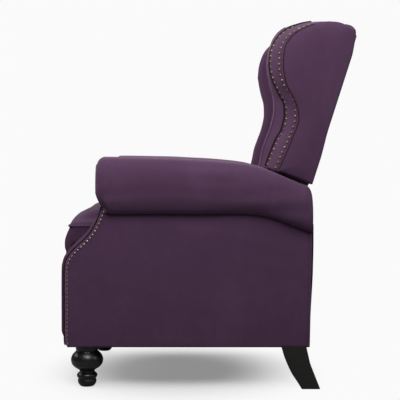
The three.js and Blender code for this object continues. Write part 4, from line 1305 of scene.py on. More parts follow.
    def scroll_trims(self, edge: Array, middle_z: float) -> None:
        """A welt round the scroll's face and a row of nails inside it, leant where the face tucks in.

        Args:
            edge: the face's rim.
            middle_z: the height of its middle.
        """
        path = resample(edge, 110)
        path[:, 1] -= 0.4
        welt = tube_skin(path, self.scroll_welt, (0, 1, 0))
        self.shop.add_pair("scroll_welt", welt, Finish.PLUM, Body.BASE)
        centre = np.array([self.roll_middle, edge[0, 1], middle_z])
        row = resample(edge, self.scroll_nail_count + 2)[1:-1]
        places = centre + (row - centre) * self.scroll_nail_share
        face_y = np.full(len(places), LINES.arm_front + self.face_inset / 2)
        places[:, 1] = self._tucked(face_y, places[:, 2])
        low = np.clip((self.waist - places[:, 2]) / self.waist_depth, 0, 1)
        lean = low**0.3 * self.tuck * 1.3 / self.waist_depth
        normals = np.column_stack([np.zeros(len(places)), np.full(len(places), -1.0), -lean])
        nails = dome_skin(places, normals, self.nail_radius, 2.0)
        self.shop.add_pair("scroll_nails", nails, Finish.BRASS, Body.BASE, crease=80.0)

    def rear_cover(self) -> None:
        """The black cloth behind the base: a slab across X, with an ear at each side behind the arm."""
        u, v = np.meshgrid(edge_steps(60, 0.7), edge_steps(40, 0.7))
        x = (2 * u - 1) * self.cover_half
        top = self.cover_top + self.ear_rise * ease((np.abs(x) - self.ear_start) / 6)
        bottom = LINES.base_bottom + 0.5
        z = bottom + v * (top - bottom)
        width, height = self.cover_extent
        edge = np.minimum(np.minimum(u, 1 - u) * width, np.minimum(v, 1 - v) * height)
        frame_y = LINES.base_rear_y(z)
        lift = 2.2 + 4.0 * ease((z - 180) / 160) + 0.8 * np.sin(np.pi * u) * np.sin(np.pi * v)
        face = np.dstack([x, frame_y + lift - edge_drop(edge, self.cover_edge), z])
        back = np.dstack([x, frame_y + 0.3, z])
        cloth = slab_skin(face, back)
        self.shop.add("rear_cloth", cloth, Finish.LINING, Body.BASE, stands_for="rear_cover", fill=0.1)


@dataclass
class Legs:
    """Turned front legs and sabre rear legs."""

    shop: Workshop
    front_x: float = 270.0
    front_y: float = -343.7
    rear_inner: float = 272.0
    rear_thickness: float = 45.0
    rear_corner_share: float = 0.24
    top: float = 119.7
    sides: int = 56

    def build(self) -> None:
        """Builds both kinds of leg."""
        self.front_legs()
        self.rear_legs()

    def front_legs(self) -> None:
        """A turned leg: the profile of radius over height, spun about an upright axis."""
        spans = [
            [(32, self.top), (32, 112), (32, 103)],
            [(32, 103), (30.5, 101.5), (30.5, 100.3)],
            [(30.5, 100.3), (35.5, 95.5), (41.5, 88.5), (45, 80), (45.5, 73), (43, 63.5), (36, 55),
             (27, 49), (22, 45.2), (21, 42.8)],
            [(21, 42.8), (22, 40), (26, 36.5), (28.6, 33), (29, 29.7), (27.5, 25.8), (25, 22.6),
             (24.6, 20.8)],
            [(24.6, 20.8), (26, 18), (26.4, 14.8), (25, 8.5), (21, 3), (17.5, 0.2)],
        ]
        profile = spans_curve(spans, (5, 3, 34, 22, 16))
        turn = turns(self.sides)
        r, z = profile[:, 0][:, None], profile[:, 1][:, None]
        x, y = self.front_x + r * np.cos(turn), self.front_y + r * np.sin(turn)
        leg = ring_skin(np.dstack([x, y, np.broadcast_to(z, x.shape)]))
        self.shop.add_pair("turned_leg", leg, Finish.LACQUER, Body.BASE, stands_for="front_leg", crease=60.0)

    def rear_legs(self) -> None:
        """A sabre leg: for each height a rounded rectangle between the two swept edges."""
        front_line = [
            (204.1, self.top), (208.6, 103.7), (214.1, 85.3), (222.7, 64.2), (234.1, 41.4), (248.3, 20),
            (260.8, 0),
        ]
        rear_line = [(273.6, self.top), (279.5, 93.9), (285, 71.1), (293.6, 48.3), (303.6, 23), (312.8, 0)]
        front, rear = smooth_curve(front_line, 60), smooth_curve(rear_line, 60)
        across, along = rounded_rectangle(1.0, 1.0, self.rear_corner_share, 6, 4).T
        half = self.rear_thickness / 2
        middle_y, middle_z = (front + rear).T[..., None] / 2
        reach_y, reach_z = (rear - front).T[..., None] / 2
        y, z = middle_y + reach_y * along, middle_z + reach_z * along
        x = np.broadcast_to(self.rear_inner + half + half * across, y.shape)
        leg = ring_skin(np.dstack([x, y, z]))
        self.shop.add_pair("sabre_leg", leg, Finish.SATIN, Body.BASE, stands_for="rear_leg", crease=60.0)


@dataclass
class SeatCushion:
    """The crowned seat cushion with its boxed front."""

    shop: Workshop
    half_width: float = 253.0
    front: float = -409.0
    rear: float = 185.0
    bottom: float = 401.0
    welt_level: float = 452.0
    crown: float = 60.0
    nose_bottom: float = 347.5
    nose_notch: float = 377.0
    notch_inner: float = 214.0
    notch_outer: float = 246.0
    nose_depth: float = 18.5
    welt_inset: float = 12.0
    corner: float = 16.0
    welt: float = 3.6

    def _free(self, places: Array) -> Array:
        """How freely the cover swells: on the crown, and a little on the front boxing.

        Args:
            places: points of the cover.

        Returns:
            a share from 0 to 1 for each point.
        """
        x, y, z = places.T
        inset = np.minimum(self.half_width - np.abs(x), y - self.front - 13.0)
        crown = ease((inset + 6) / 56) * ease((z - self.welt_level - 5) / 20)
        boxing = ease((self.welt_level - z - 8) / 24) * ease((z - 360) / 20) * ease((200 - np.abs(x)) / 50)
        return crown + 0.35 * boxing * (y < self.front + 40)

    def _crown(self, x: Array, recess: Array) -> tuple[Array, Array]:
        """The crowned top: a side profile in shares, flattened towards both sides, with low dimples.

        Args:
            x: places across the seat, one per row.
            recess: how far its round corners draw the front in at each.

        Returns:
            y and z of the points, from the rear to the welt in front.
        """
        shares = [
            (1.0, 0.3), (0.985, 0.6), (0.92, 0.755), (0.7, 0.9), (0.45, 0.985), (0.22, 0.99),
            (0.12, 0.905), (0.062, 0.71), (0.029, 0.43), (0.0205, 0.15),
        ]
        run, rise = spans_curve([shares], (70,)).T
        across = (1 - np.abs(x / self.half_width) ** 2.6) ** 0.55
        y = self.front + (self.rear - self.front) * run + recess * (1 - run) ** 6
        dimples = 1.6 * np.sin(x / 34) * np.sin(y / 41) * across * ease((y - self.front) / 80)
        return y, self.welt_level + self.crown * rise * across + dimples

    def _nose(self, x: Array, recess: Array) -> tuple[Array, Array]:
        """The boxed front, from the welt down to its lower edge, which is notched near both ends.

        Args:
            x: places across the seat, one per row.
            recess: how far its round corners draw the front in at each.

        Returns:
            y and z of the points, from the welt downwards.
        """
        line = [
            (13.5, self.welt_level), (12, 443), (5, 422), (0, 403), (-1.5, 388), (-1.2, 366), (1.5, 352),
            (8, self.nose_bottom), (14, 347.6), (self.nose_depth, 350),
        ]
        reach, level = smooth_curve(line, 40).T
        share = (self.welt_level - level) / (self.welt_level - self.nose_bottom)
        sag = 1.2 * np.sin(x / 27 + 0.6) * np.sin(np.pi * share)
        notch = ease((np.abs(x) - self.notch_inner) / 8) * (1 - ease((np.abs(x) - self.notch_outer) / 4))
        drop = self.welt_level - self.nose_bottom - (self.nose_notch - self.nose_bottom) * notch
        y = self.front + reach + recess * (0.85 - 0.45 * share) + sag
        return y, self.welt_level - share * drop

    def build(self) -> None:
        """Builds the cushion, row by row across X, and its welt."""
        x = (np.sin(np.linspace(-1, 1, 81) * np.pi / 2) * self.half_width)[:, None]
        recess = edge_drop(self.half_width - np.abs(x), self.corner)
        top_y, top_z = self._crown(x, recess)
        nose_y, nose_z = self._nose(x, recess)
        under = np.maximum(self.front + self.nose_depth, nose_y[:, -1:])
        y = np.hstack([top_y, nose_y, under, np.full_like(x, self.rear)])
        z = np.hstack([top_z, nose_z, np.full((len(x), 2), self.bottom)])
        cover = ring_skin(np.dstack([np.broadcast_to(x, y.shape), y, z]))
        # The seat pad's darker plum copy is painted shade.
        self.shop.add(
            "seat_pad", cover, Finish.PLUM_PAINTED_SHADE, Body.SEAT, stands_for="seat_cushion", fill=0.75,
            stuffing=Stuffing(self._free, cap=24.0, voxel=6.5, shrink=18.0),
        )
        half_depth = (self.rear - self.front - self.welt_inset) / 2
        plan = rounded_rectangle(self.half_width - 1.0, half_depth, self.corner, 14, 60)
        plan[:, 1] += self.rear - half_depth
        path = np.column_stack([plan, np.full(len(plan), self.welt_level)])
        welt = tube_skin(path, self.welt, (0, 0, 1), closed=True)
        self.shop.add("seat_welt", welt, Finish.PLUM, Body.SEAT)


@dataclass
class BackUpholstery:
    """The tufted inside back, its buttons, the outside back and its welt."""

    shop: Workshop
    half_low: float = 237.5
    half: float = 225.8
    step_z: float = 562.0
    bottom: float = 501.0
    depth: float = 98.0
    to_frame: float = 37.2
    roll_level: float = 985.0
    tuft_start: float = 590.0
    tuft_row: float = 61.0
    tuft_column: float = 113.0
    tuft_rows: int = 7
    cloth_take_up: float = 0.955
    pleat: float = 13.0
    pocket: float = 17.0
    pocket_width: float = 17.0
    button: float = 10.5
    button_height: float = 6.0
    tail_half: float = 224.0
    tail_bottom: float = 429.0
    tail_y: float = 201.0
    tail_slope: float = 0.2917
    tail_thickness: float = 1.8
    panel_bottom: float = 425.5
    panel_top: float = 1023.5
    panel_thickness: float = 11.8
    panel_edge: float = 5.0
    welt: float = 3.4
    welt_inset: float = 3.5

    def build(self) -> None:
        """Builds the inside, its tail and the outside of the back."""
        self.inside()
        self.tail()
        self.outside()

    def tail(self) -> None:
        """The tail of the inside cover, pulled down over the face of the lower rail and tacked there."""
        u, v = np.meshgrid(np.linspace(-1, 1, 81), np.linspace(0, 1, 25))
        z = self.tail_bottom + (self.bottom + 0.5 - self.tail_bottom) * v
        y = self.tail_y + self.tail_slope * (z - self.tail_bottom)
        y -= 0.8 * np.sin(np.pi * v) * (1 + 0.5 * np.sin(u * 11.0)) * ease((1 - np.abs(u)) / 0.04)
        front = np.dstack([self.tail_half * u, y, z])
        back = front + np.array([0.0, self.tail_thickness, 0.0])
        # The tail's darker plum copy is painted shade.
        self.shop.add("back_tail", slab_skin(front, back), Finish.PLUM_PAINTED_SHADE, Body.BACK, fill=0.1)

    def _front_line(self, count: int) -> Array:
        """Side view of the inside back's skin: up the rake, then rolled over the top.

        Args:
            count: number of points wanted.

        Returns:
            points as (y, z), from the bottom upwards.
        """
        z = np.array([self.bottom, 512, 532, 575, 640, 740, 840, 920])
        pull = np.array([16, 5, 0, -2, 0, -1, -1, 0])
        low = np.column_stack([LINES.rear_y(z) - self.to_frame - self.depth + pull, z])
        roll = [(274, 962), (283, 988), (297, 1009), (318, 1024), (343, 1031), (366, 1029), (384, 1021)]
        return smooth_curve(np.vstack([low, roll, (394, 1010)]), count)

    def _tuft(self, x: Array, z: Array) -> Array:
        """How far the cloth sinks: shallow along the diamond pleats, deepest at each button.

        The pleats lie where the product of two sines of (column plus row) and (column minus row) is
        zero; the pockets are bell curves about the buttons, which stand on two lattices.

        Args:
            x, z: places on the back, with z along the cloth.

        Returns:
            the depth at each place.
        """
        column, row = x / self.tuft_column, (z - self.tuft_start) / (2 * self.tuft_row)
        swell = np.abs(np.sin(np.pi * (column + row)) * np.sin(np.pi * (column - row))) ** 0.42
        sink = self.pleat * (1 - swell)
        for shift in (0.0, 0.5):
            c, r = column - shift, row - shift
            near = np.hypot((c - np.round(c)) * self.tuft_column, (r - np.round(r)) * 2 * self.tuft_row)
            sink = sink + self.pocket * dent(near, self.pocket_width)
        return sink

    def inside(self) -> None:
        """The tufted face: a grid over the width and along the side view's line.

        Each point leaves that line inwards by the tufts' sink and by the fall towards both sides.
        """
        line = self._front_line(190)
        inward = beside(line)
        us = np.linspace(-1, 1, 150)
        y, z = line.T
        half = self.half_low + (self.half - self.half_low) * ease((z - self.step_z + 8) / 10)
        x = half[:, None] * us
        run = run_lengths(line)
        rising = slice(0, 120)
        start = np.interp(self.tuft_start, z[rising], run[rising])
        height = self.tuft_start + (run - start) * self.cloth_take_up
        tuft_top = self.tuft_start + (self.tuft_rows - 1) * self.tuft_row
        live = ease((height - self.tuft_start + 70) / 60) * (1 - ease((height - tuft_top - 14) / 55))
        sink = self._tuft(x, np.broadcast_to(height[:, None], x.shape)) * live[:, None]
        sink += 20.0 * np.outer(1 - ease((z - self.roll_level) / 25), np.abs(us) ** 9)
        sink += 9.0 * np.outer(ease((z - self.roll_level + 10) / 40), np.abs(us) ** 14)
        face = np.dstack([x, line[:, None] + inward[:, None] * sink[..., None]])
        rolled = z > self.roll_level
        frame_y = LINES.rear_y(np.minimum(z, LINES.frame_top)) - self.to_frame
        frame_y += ease((y - 283) / 80) * rolled * (self.to_frame - 12.8)
        over_z = LINES.frame_top + 0.8 + 18 * ease((y - 375) / 20)
        frame_z = np.where(rolled, over_z, np.minimum(z, LINES.frame_top + 0.6))
        back = np.stack([np.column_stack([side * half, frame_y, frame_z]) for side in (1, -1)], axis=1)
        self.shop.add(
            "tufted_back", panel_skin(face, back), Finish.PLUM, Body.BACK,
            stands_for="back_cushion", fill=0.8, crease=70.0,
        )
        self.buttons(line, inward, run, height)

    def buttons(self, line: Array, inward: Array, run: Array, height: Array) -> None:
        """A covered button in each pocket, on rows that hold three and four in turn.

        Args:
            line: the side view's line.
            inward: directions square to it, into the back.
            run: its running length at each point.
            height: the height along the cloth at each point.
        """
        spots = [
            (column * self.tuft_column / 2, self.tuft_start + row * self.tuft_row)
            for row in range(self.tuft_rows)
            for column in ((-2, 0, 2) if row % 2 == 0 else (-3, -1, 1, 3))
        ]
        x, level = np.array(spots).T
        place = np.interp(level, height, run)
        aim = read_rows(place, run, inward)
        foot = read_rows(place, run, line) + aim * (self.pleat + self.pocket - 0.5)
        heads = dome_skin(np.column_stack([x, foot]), at_x(0.0, -aim), self.button, self.button_height, 16)
        self.shop.add("back_buttons", heads, Finish.PLUM, Body.BACK, crease=85.0)

    def _half_at(self, z: Array) -> Array:
        """Half width of the outside back at z: narrow between the arms, wide above, round on top."""
        low = 244.6 + 7.4 * ease((545 - z) / 40) + 21.4 * ease((z - 564) / 16)
        return low - np.interp(z, [980, 995, 1006, 1014, 1020, 1024], [0, 2, 6, 13, 24, 40])

    def outside(self) -> None:
        """The outside back: rows across X, lightly puffed, with a welt round its edge."""
        z = self.panel_bottom + edge_steps(80, 0.55) * (self.panel_top - self.panel_bottom)
        half = self._half_at(z)[:, None]
        x = half * (2 * edge_steps(70, 0.75) - 1)
        ends = np.minimum(z - self.panel_bottom, self.panel_top - z)[:, None]
        edge = np.minimum(half - np.abs(x), ends)
        rake = LINES.rear_y(z)[:, None]
        waves = 0.5 * np.sin(x / 60 + z[:, None] / 80) * ease(edge / 50)
        y = rake - 1.5 + 3.0 * ease(edge / 60) - edge_drop(edge, self.panel_edge) + waves
        face = np.dstack([x, y, np.broadcast_to(z[:, None], x.shape)])
        back = np.stack([face[:, -1], face[:, 0]], axis=1)
        back[..., 1] = rake - self.panel_thickness
        cover = panel_skin(face, back)
        self.shop.add("rear_panel", cover, Finish.PLUM, Body.BACK, stands_for="outside_back", fill=0.3)
        up = np.linspace(428, 1023, 160)
        side = np.column_stack([self._half_at(up) - 0.5, LINES.rear_y(up) - self.welt_inset, up])
        end_x = self._half_at(up[-1])
        top_y = LINES.rear_y(np.array(self.panel_top)) - self.welt_inset
        top = np.array([(x, top_y, self.panel_top + 1.0) for x in np.linspace(end_x, -end_x, 90)[1:-1]])
        path = resample(np.vstack([side, top, (side * [-1, 1, 1])[::-1]]), 420)
        welt = tube_skin(path, self.welt, (0, 1, 0))
        self.shop.add("rear_panel_welt", welt, Finish.PLUM, Body.BACK)


@dataclass
class Wing:
    """One padded wing with its rolled crest, nailed band and puffed outer panel, and its mirror."""

    shop: Workshop
    rows: tuple[int, ...] = (44, 26, 26, 22)
    corner_rows: int = 14
    top: float = 1034.0
    roll_level: float = 985.0
    rear_foot: float = 571.0
    rear_top: float = 1004.0
    rim_top: float = 1009.0
    fold_level: float = 806.0
    inner_x: float = 226.4
    crest_x: float = 236.0
    first_nails_x: float = 261.0
    second_nails_x: float = 291.0
    edge_front_x: float = 299.0
    edge_rear_x: float = 271.0
    rim_inner_x: float = 263.5
    panel_thickness: float = 12.0
    panel_puff: float = 8.0
    nail_radius: float = 3.9
    nail_height: float = 2.6
    nail_step: float = 15.2
    nails_top: float = 1018.5
    crest_welt: float = 1.7

    crest: list[Points] = field(default_factory=lambda: [
        [(138, 602), (147, 632), (155, 671), (167, 705), (177.5, 734), (186.5, 773), (187, 808)],
        [(187, 808), (184.5, 825), (176.5, 853), (170.5, 883), (167, 905)],
        [(167, 905), (171, 942), (182, 976), (195, 997), (208, 1009)],
        [(208, 1009), (223, 1017.5), (242, 1024.5), (266, 1030), (302, 1032.5), (340, 1033)],
    ])
    first_row: list[Points] = field(default_factory=lambda: [
        [(165, 621.5), (174.2, 643.4), (185.5, 669.7), (198.5, 698.9), (212.7, 723.5), (219.8, 752.9),
         (220.9, 768.2)],
        [(220.9, 768.2), (218.9, 796.8), (207.3, 819.4), (196, 841.2), (184.7, 866.1), (177.6, 891.9),
         (174.5, 921.9)],
        [(174.5, 921.9), (179, 950), (186.5, 966.5), (196, 982), (208.5, 996.5)],
        [(208.5, 996.5), (226, 1008.5), (246, 1018), (270, 1025.5), (300, 1030.5), (340, 1032)],
    ])
    second_row: list[Points] = field(default_factory=lambda: [
        [(187, 612), (198, 639.4), (208.9, 664.9), (221.6, 692.1), (235, 720.7), (242.8, 752.1),
         (243.5, 760)],
        [(243.5, 760), (243, 783), (231, 818), (214.5, 844.5), (203.3, 870.9), (198, 896.3),
         (197.2, 917)],
        [(197.2, 917), (198.9, 939.8), (203.3, 954.1), (208.8, 967.8), (221, 985)],
        [(221, 985), (241.2, 1000.5), (280.4, 1017.5), (310, 1025.5), (340, 1029.5)],
    ])
    edge: list[Points] = field(default_factory=lambda: [
        [(196, 608), (205, 628), (222, 665), (238, 705), (252, 742), (255, 762.5)],
        [(255, 762.5), (251, 783), (242.5, 806.5), (230, 830), (219, 851), (211.5, 885), (209, 912)],
        [(209, 912), (211, 939), (217.5, 963), (231, 983)],
        [(231, 983), (252, 1001), (279, 1015), (306, 1023), (340, 1027)],
    ])

    def __post_init__(self) -> None:
        """Places the guide lines row by row, so that equal rows lie across from each other."""
        self.count = sum(self.rows) + 1 + self.corner_rows
        lines = {"crest": self.crest, "first": self.first_row, "second": self.second_row, "edge": self.edge}
        self.guides = {
            name: np.vstack([spans_curve(spans, self.rows), self._corner(spans[-1][-1])])
            for name, spans in lines.items()
        }
        self.inward = beside(self.guides["crest"])
        self.edge_x = self._outer_x(*self.guides["edge"].T)
        self.second_x = np.minimum(self.second_nails_x, self.edge_x - 5.0)
        share = (self.first_nails_x - self.crest_x) / (self.second_nails_x - self.crest_x)
        self.first_x = self.crest_x + share * (self.second_x - self.crest_x)
        z = np.linspace(self.rear_foot, self.rear_top, self.count)
        self.rear = np.column_stack([LINES.rear_y(z) - 12.4, z])
        z = np.linspace(self.rear_foot, self.rim_top, self.count)
        reach = 5.5 * (1 - ease((z - 930) / 55)) + 4.5 * ease((730 - z) / 90) - 0.5
        self.rim = np.column_stack([LINES.rear_y(z) + reach, z])

    def _corner(self, start: tuple[float, float]) -> Array:
        """Carries a guide from its last point over the top to the rear corner.

        Args:
            start: the guide's last point.

        Returns:
            the points after it.
        """
        drop = self.top - start[1]
        points = [start, (366, 1032 - drop), (386, 1024 - drop * 0.8), (397, 1012 - drop * 0.5), (401, 1004)]
        return smooth_curve(points, self.corner_rows + 1)[1:]

    def _foot(self, front: Array, rear: Array, us: Array) -> Array:
        """The wing's lower edge from a guide's foot to the rear, along the arm's falling top.

        Args:
            front, rear: the lines that the edge joins, from the foot upwards.
            us: places along the edge, from 0 to 1.

        Returns:
            points as (y, z).
        """
        y = front[0, 0] + us * (rear[0, 0] - front[0, 0])
        z = read_curve([(140, 630), (172, 618), (221, 597), (275, 573), (290, 566)], 80, y)
        shift = (front[0, 1] - z[0]) * (1 - us) + (rear[0, 1] - z[-1]) * us
        return np.column_stack([y, z + shift])

    def _plane(self, front: Array, rear: Array, us: Array) -> Array:
        """A side-view grid, one row for each row of the guides, between a front guide and a rear line."""
        top = front[-1] + us[:, None] * (rear[-1] - front[-1])
        return blend_patch(self._foot(front, rear, us), top, front, rear, us, np.linspace(0, 1, self.count))

    def _outer_x(self, y: Array, z: Array) -> Array:
        """The outer face leans outwards from the rear edge to the front edge."""
        behind = np.clip((LINES.rear_y(z) - 12 - y) / 190.0, 0, 1)
        return self.edge_rear_x + (self.edge_front_x - self.edge_rear_x) * behind

    def build(self) -> None:
        """Builds the pads, panels, welts and nails."""
        self.pads()
        self.panels()
        self.nails()
        self.trims()

    def _between(
        self, names: tuple[str, str], xs: tuple[Array, Array], t: Array, lift: Array,
        lean: float, level: Array,
    ) -> Array:
        """Points between two guides, lifted square to them.

        Args:
            names: the two guides.
            xs: x of both, one for each row.
            t: places from the first guide to the second, from 0 to 1.
            lift: how far the points rise at each place.
            lean: the share of the lift by which they also move outwards.
            level: the share of the lift that each row gets.

        Returns:
            points of shape (rows, places, 3).
        """
        a, b = (self.guides[name][:, None] for name in names)
        x = xs[0][:, None] + (xs[1] - xs[0])[:, None] * t
        rise = self.inward[:, None] * (level[:, None] * lift)[..., None]
        return np.dstack([x + lean * lift, a * (1 - t)[:, None] + b * t[:, None] - rise])

    def _inner_face(self) -> Array:
        """The pad's inner face, from the rear to the crest: lightly hollow, with pleats near the crest.

        Returns:
            points of shape (rows, columns, 3).
        """
        us = edge_steps(26, 0.3)
        grid = self._plane(self.guides["crest"] + self.inward * 20, self.rear, us)[:, ::-1]
        u = us[::-1]
        v = np.linspace(0, 1, self.count)[:, None]
        y, z = grid[..., 0], grid[..., 1]
        reach = ease((0.4 - u) / 0.3) * np.sin(np.pi * np.minimum(v * 1.05, 1)) ** 0.5
        pleats = 2.2 * np.sin(y / 7.5 + 2.2 * np.sin(z / 70)) * reach
        hollow = np.maximum(np.sin(np.pi * u) * np.sin(np.pi * v), 0)
        return np.dstack([self.inner_x + 0.2 + hollow + np.maximum(pleats + 1.2, 0) * 0.6, grid])

    def pads(self) -> None:
        """The pad: closed rings, one for each row of the guides.

        A ring runs along the inner face from the rear to the front, over the rolled crest, across the
        band between the nail rows, and back under the outer panel. The band's points are drawn
        between the guides, lifted by a sine between the rows and pinched at each row.
        """
        roll = np.array([
            (226.8, 12.5), (227.8, 7.0), (229.6, 2.8), (232.3, 0.7), (self.crest_x, 0.0), (240.5, 0.6),
        ])
        crest = self.guides["crest"][:, None] + self.inward[:, None] * roll[:, 1:]
        crest = np.dstack([np.broadcast_to(roll[:, 0], crest.shape[:2]), crest])
        level = 1 - 0.9 * ease((self.guides["crest"][:, 1] - self.roll_level) / 40)
        even = np.ones(self.count)
        t = np.linspace(0.16, 1, 9)
        lift = 2.6 * np.sin(np.pi * t) ** 0.7 - 1.2 * dent(1 - t, 0.1)
        first = self._between(("crest", "first"), (even * self.crest_x, self.first_x), t, lift, 0.35, level)
        t = np.linspace(0, 1, 13)[1:]
        lift = 2.4 * np.sin(np.pi * t) ** 0.6 - 1.2 * dent(1 - t, 0.09) - 0.8 * dent(t, 0.09)
        second = self._between(("first", "second"), (self.first_x, self.second_x), t, lift, 0.35, level)
        t = np.linspace(0, 1, 6)[1:]
        lift = 1.6 * np.sin(np.pi * t) - 4.0 * t**3
        third = self._between(("second", "edge"), (self.second_x, self.edge_x - 3.0), t, lift, 0.0, even)
        below = self.panel_thickness + 1.0
        under = np.stack([
            np.column_stack([self.edge_x - below, self.guides["edge"] + self.inward * 6]),
            at_x(self.edge_rear_x - below, self.rear),
        ], axis=1)
        rings = np.concatenate([self._inner_face(), crest, first, second, third, under], axis=1)
        self.shop.add_pair(
            "wing_cushion", ring_skin(rings), Finish.PLUM, Body.BACK,
            stands_for="wing_pad", fill=0.6, crease=75.0,
        )

    def panels(self) -> None:
        """The outer panel: a side-view grid, leaning outwards to the front, puffed between its edges."""
        us = edge_steps(48, 0.8)
        front = self.guides["edge"]
        grid = self._plane(front, self.rim, us)
        y, z = grid[..., 0], grid[..., 1]
        span = np.linalg.norm(self.rim - front, axis=1)[:, None]
        v = np.linspace(0, 1, self.count)[:, None]
        edge = np.minimum(np.minimum(us, 1 - us) * span, np.minimum(v * 560, (1 - v) * 420))
        puff = self.panel_puff * (1 - np.exp(-edge / 22)) - edge_drop(edge, 5.0) + 1.0
        waves = 0.8 * np.sin(z / 34 + y / 50) * ease(edge / 40)
        outer_x = self._outer_x(y, z)
        face = np.dstack([outer_x - 2.0 + puff + waves, grid])
        front_x = outer_x[:, 0] - self.panel_thickness
        back = np.stack([at_x(self.rim_inner_x, grid[:, -1]), np.column_stack([front_x, grid[:, 0]])], axis=1)
        self.shop.add_pair(
            "wing_cover", panel_skin(face, back), Finish.PLUM, Body.BACK,
            stands_for="wing_panel", fill=0.5, crease=75.0,
        )

    def nails(self) -> None:
        """Two rows of nails, evenly spaced along their guides and square to the band.

        The outer row sinks into the fold at the waist, by a smooth step over the distance from it.
        """
        skins = []
        first, second = self.guides["first"], self.guides["second"]
        across = np.column_stack([self.second_x - self.first_x, second - first])
        for guide, x, fold in ((first, self.first_x, 0.0), (second, self.second_x, 2.2)):
            keep = np.flatnonzero(guide[:, 1] < self.nails_top)[2:]
            line = np.column_stack([x, guide])[keep]
            normal = unit(np.cross(across[keep], np.gradient(line, axis=0)))
            normal *= np.sign(normal @ np.array([0.4, -1.0, 0.2]))[:, None]
            run = run_lengths(line)
            spots = np.linspace(0, run[-1], int(round(run[-1] / self.nail_step)))
            places, aims = read_rows(spots, run, line), unit(read_rows(spots, run, normal))
            sunk = 0.2 + fold * ease(1.8 - np.abs(places[:, 2] - self.fold_level) / 24)
            skins.append(dome_skin(places - aims * sunk[:, None], aims, self.nail_radius, self.nail_height))
        self.shop.add_pair("wing_nails", Skin.joined(skins), Finish.BRASS, Body.BACK, crease=80.0)

    def trims(self) -> None:
        """A near-black tape by the first nail row and a thin near-black cord on the panel's seam, both
        painted shade of grooves, and a crest welt in the paler plum copy, a painted highlight.
        """
        guides, inward = self.guides, self.inward
        last = self.count - self.corner_rows
        crest_x = np.full(self.count, self.crest_x)
        tapes = []
        for before, after, x_before, x, gap, radius in (
            ("crest", "first", crest_x, self.first_x, 6.8, 2.4),
            ("second", "edge", self.second_x, self.edge_x, 0.8, 0.9),
        ):
            across = np.column_stack([x - x_before, guides[after] - guides[before]])
            line = np.column_stack([x + 0.4, guides[after] - inward * (radius - 1.2)]) - unit(across) * gap
            tapes.append(tube_skin(resample(line[2 : last - 8], 200), radius, (1, 0, 0), sides=8))
        # Both near-black tapes are painted shade of grooves.
        self.shop.add_pair("wing_painted_shade_tapes", Skin.joined(tapes), Finish.GIMP_PAINTED_SHADE, Body.BACK)
        line = at_x(self.crest_x - 2.0, guides["crest"] - inward * 0.6)
        welt = tube_skin(resample(line[: last - 20], 200), self.crest_welt, (1, 0, 0), sides=8)
        # The crest welt's paler plum is a painted highlight.
        self.shop.add_pair("wing_crest_welt", welt, Finish.WELT_PAINTED_HIGHLIGHT, Body.BACK)


@dataclass
class Footrest:
    """The padded footrest panel."""

    shop: Workshop
    half_width: float = 257.0
    bottom: float = 140.0
    top: float = 338.0
    rear: float = -363.3
    depth: float = 45.0
    corner: float = 12.0
    welt: float = 3.2
    welt_inset: float = 2.5
    welt_rise: float = 33.0

    def _free(self, places: Array) -> Array:
        """How freely the pad's cover swells: in front, away from its edges.

        Args:
            places: points of the cover.

        Returns:
            a share from 0 to 1 for each point.
        """
        x, y, z = places.T
        inset = np.minimum(self.half_width - np.abs(x), np.minimum(z - self.bottom, self.top - z))
        return ease((inset - 12) / 50) * ease((self.rear - 25 - y) / 12)

    def build(self) -> None:
        """The pad: rounded rectangles that shrink as they rise along a crowned profile; and its welt."""
        middle = np.array([0.0, (self.bottom + self.top) / 2])
        half_height = (self.top - self.bottom) / 2
        profile = smooth_curve(
            [(0.5, 0), (0, 8), (0, 20), (1.2, 29), (5, 36), (12, 40.5), (26, 43), (50, 44.4),
             (80, self.depth), (95, self.depth)], 40
        )
        rings = []
        for inset, rise in profile:
            half = self.half_width - inset
            plan = rounded_rectangle(half, half_height - inset, self.corner, 8, 40) + middle
            wave = 0.9 * np.sin(plan[:, 0] / 40) * (rise / self.depth) ** 4
            rings.append(np.column_stack([plan[:, 0], self.rear - rise + wave, plan[:, 1]]))
        self.shop.add(
            "footrest_cushion", ring_skin(np.array(rings)), Finish.PLUM, Body.FOOTREST,
            stands_for="footrest_pad", fill=0.6,
            stuffing=Stuffing(self._free, cap=22.0, voxel=5.0, shrink=17.0),
        )
        inset = self.welt_inset
        plan = rounded_rectangle(self.half_width - inset, half_height - inset, self.corner, 12, 80)
        x, z = (plan + middle).T
        path = np.column_stack([x, np.full(len(x), self.rear - self.welt_rise), z])
        welt = tube_skin(path, self.welt, (0, 1, 0), closed=True)
        self.shop.add("footrest_welt", welt, Finish.PLUM, Body.FOOTREST)


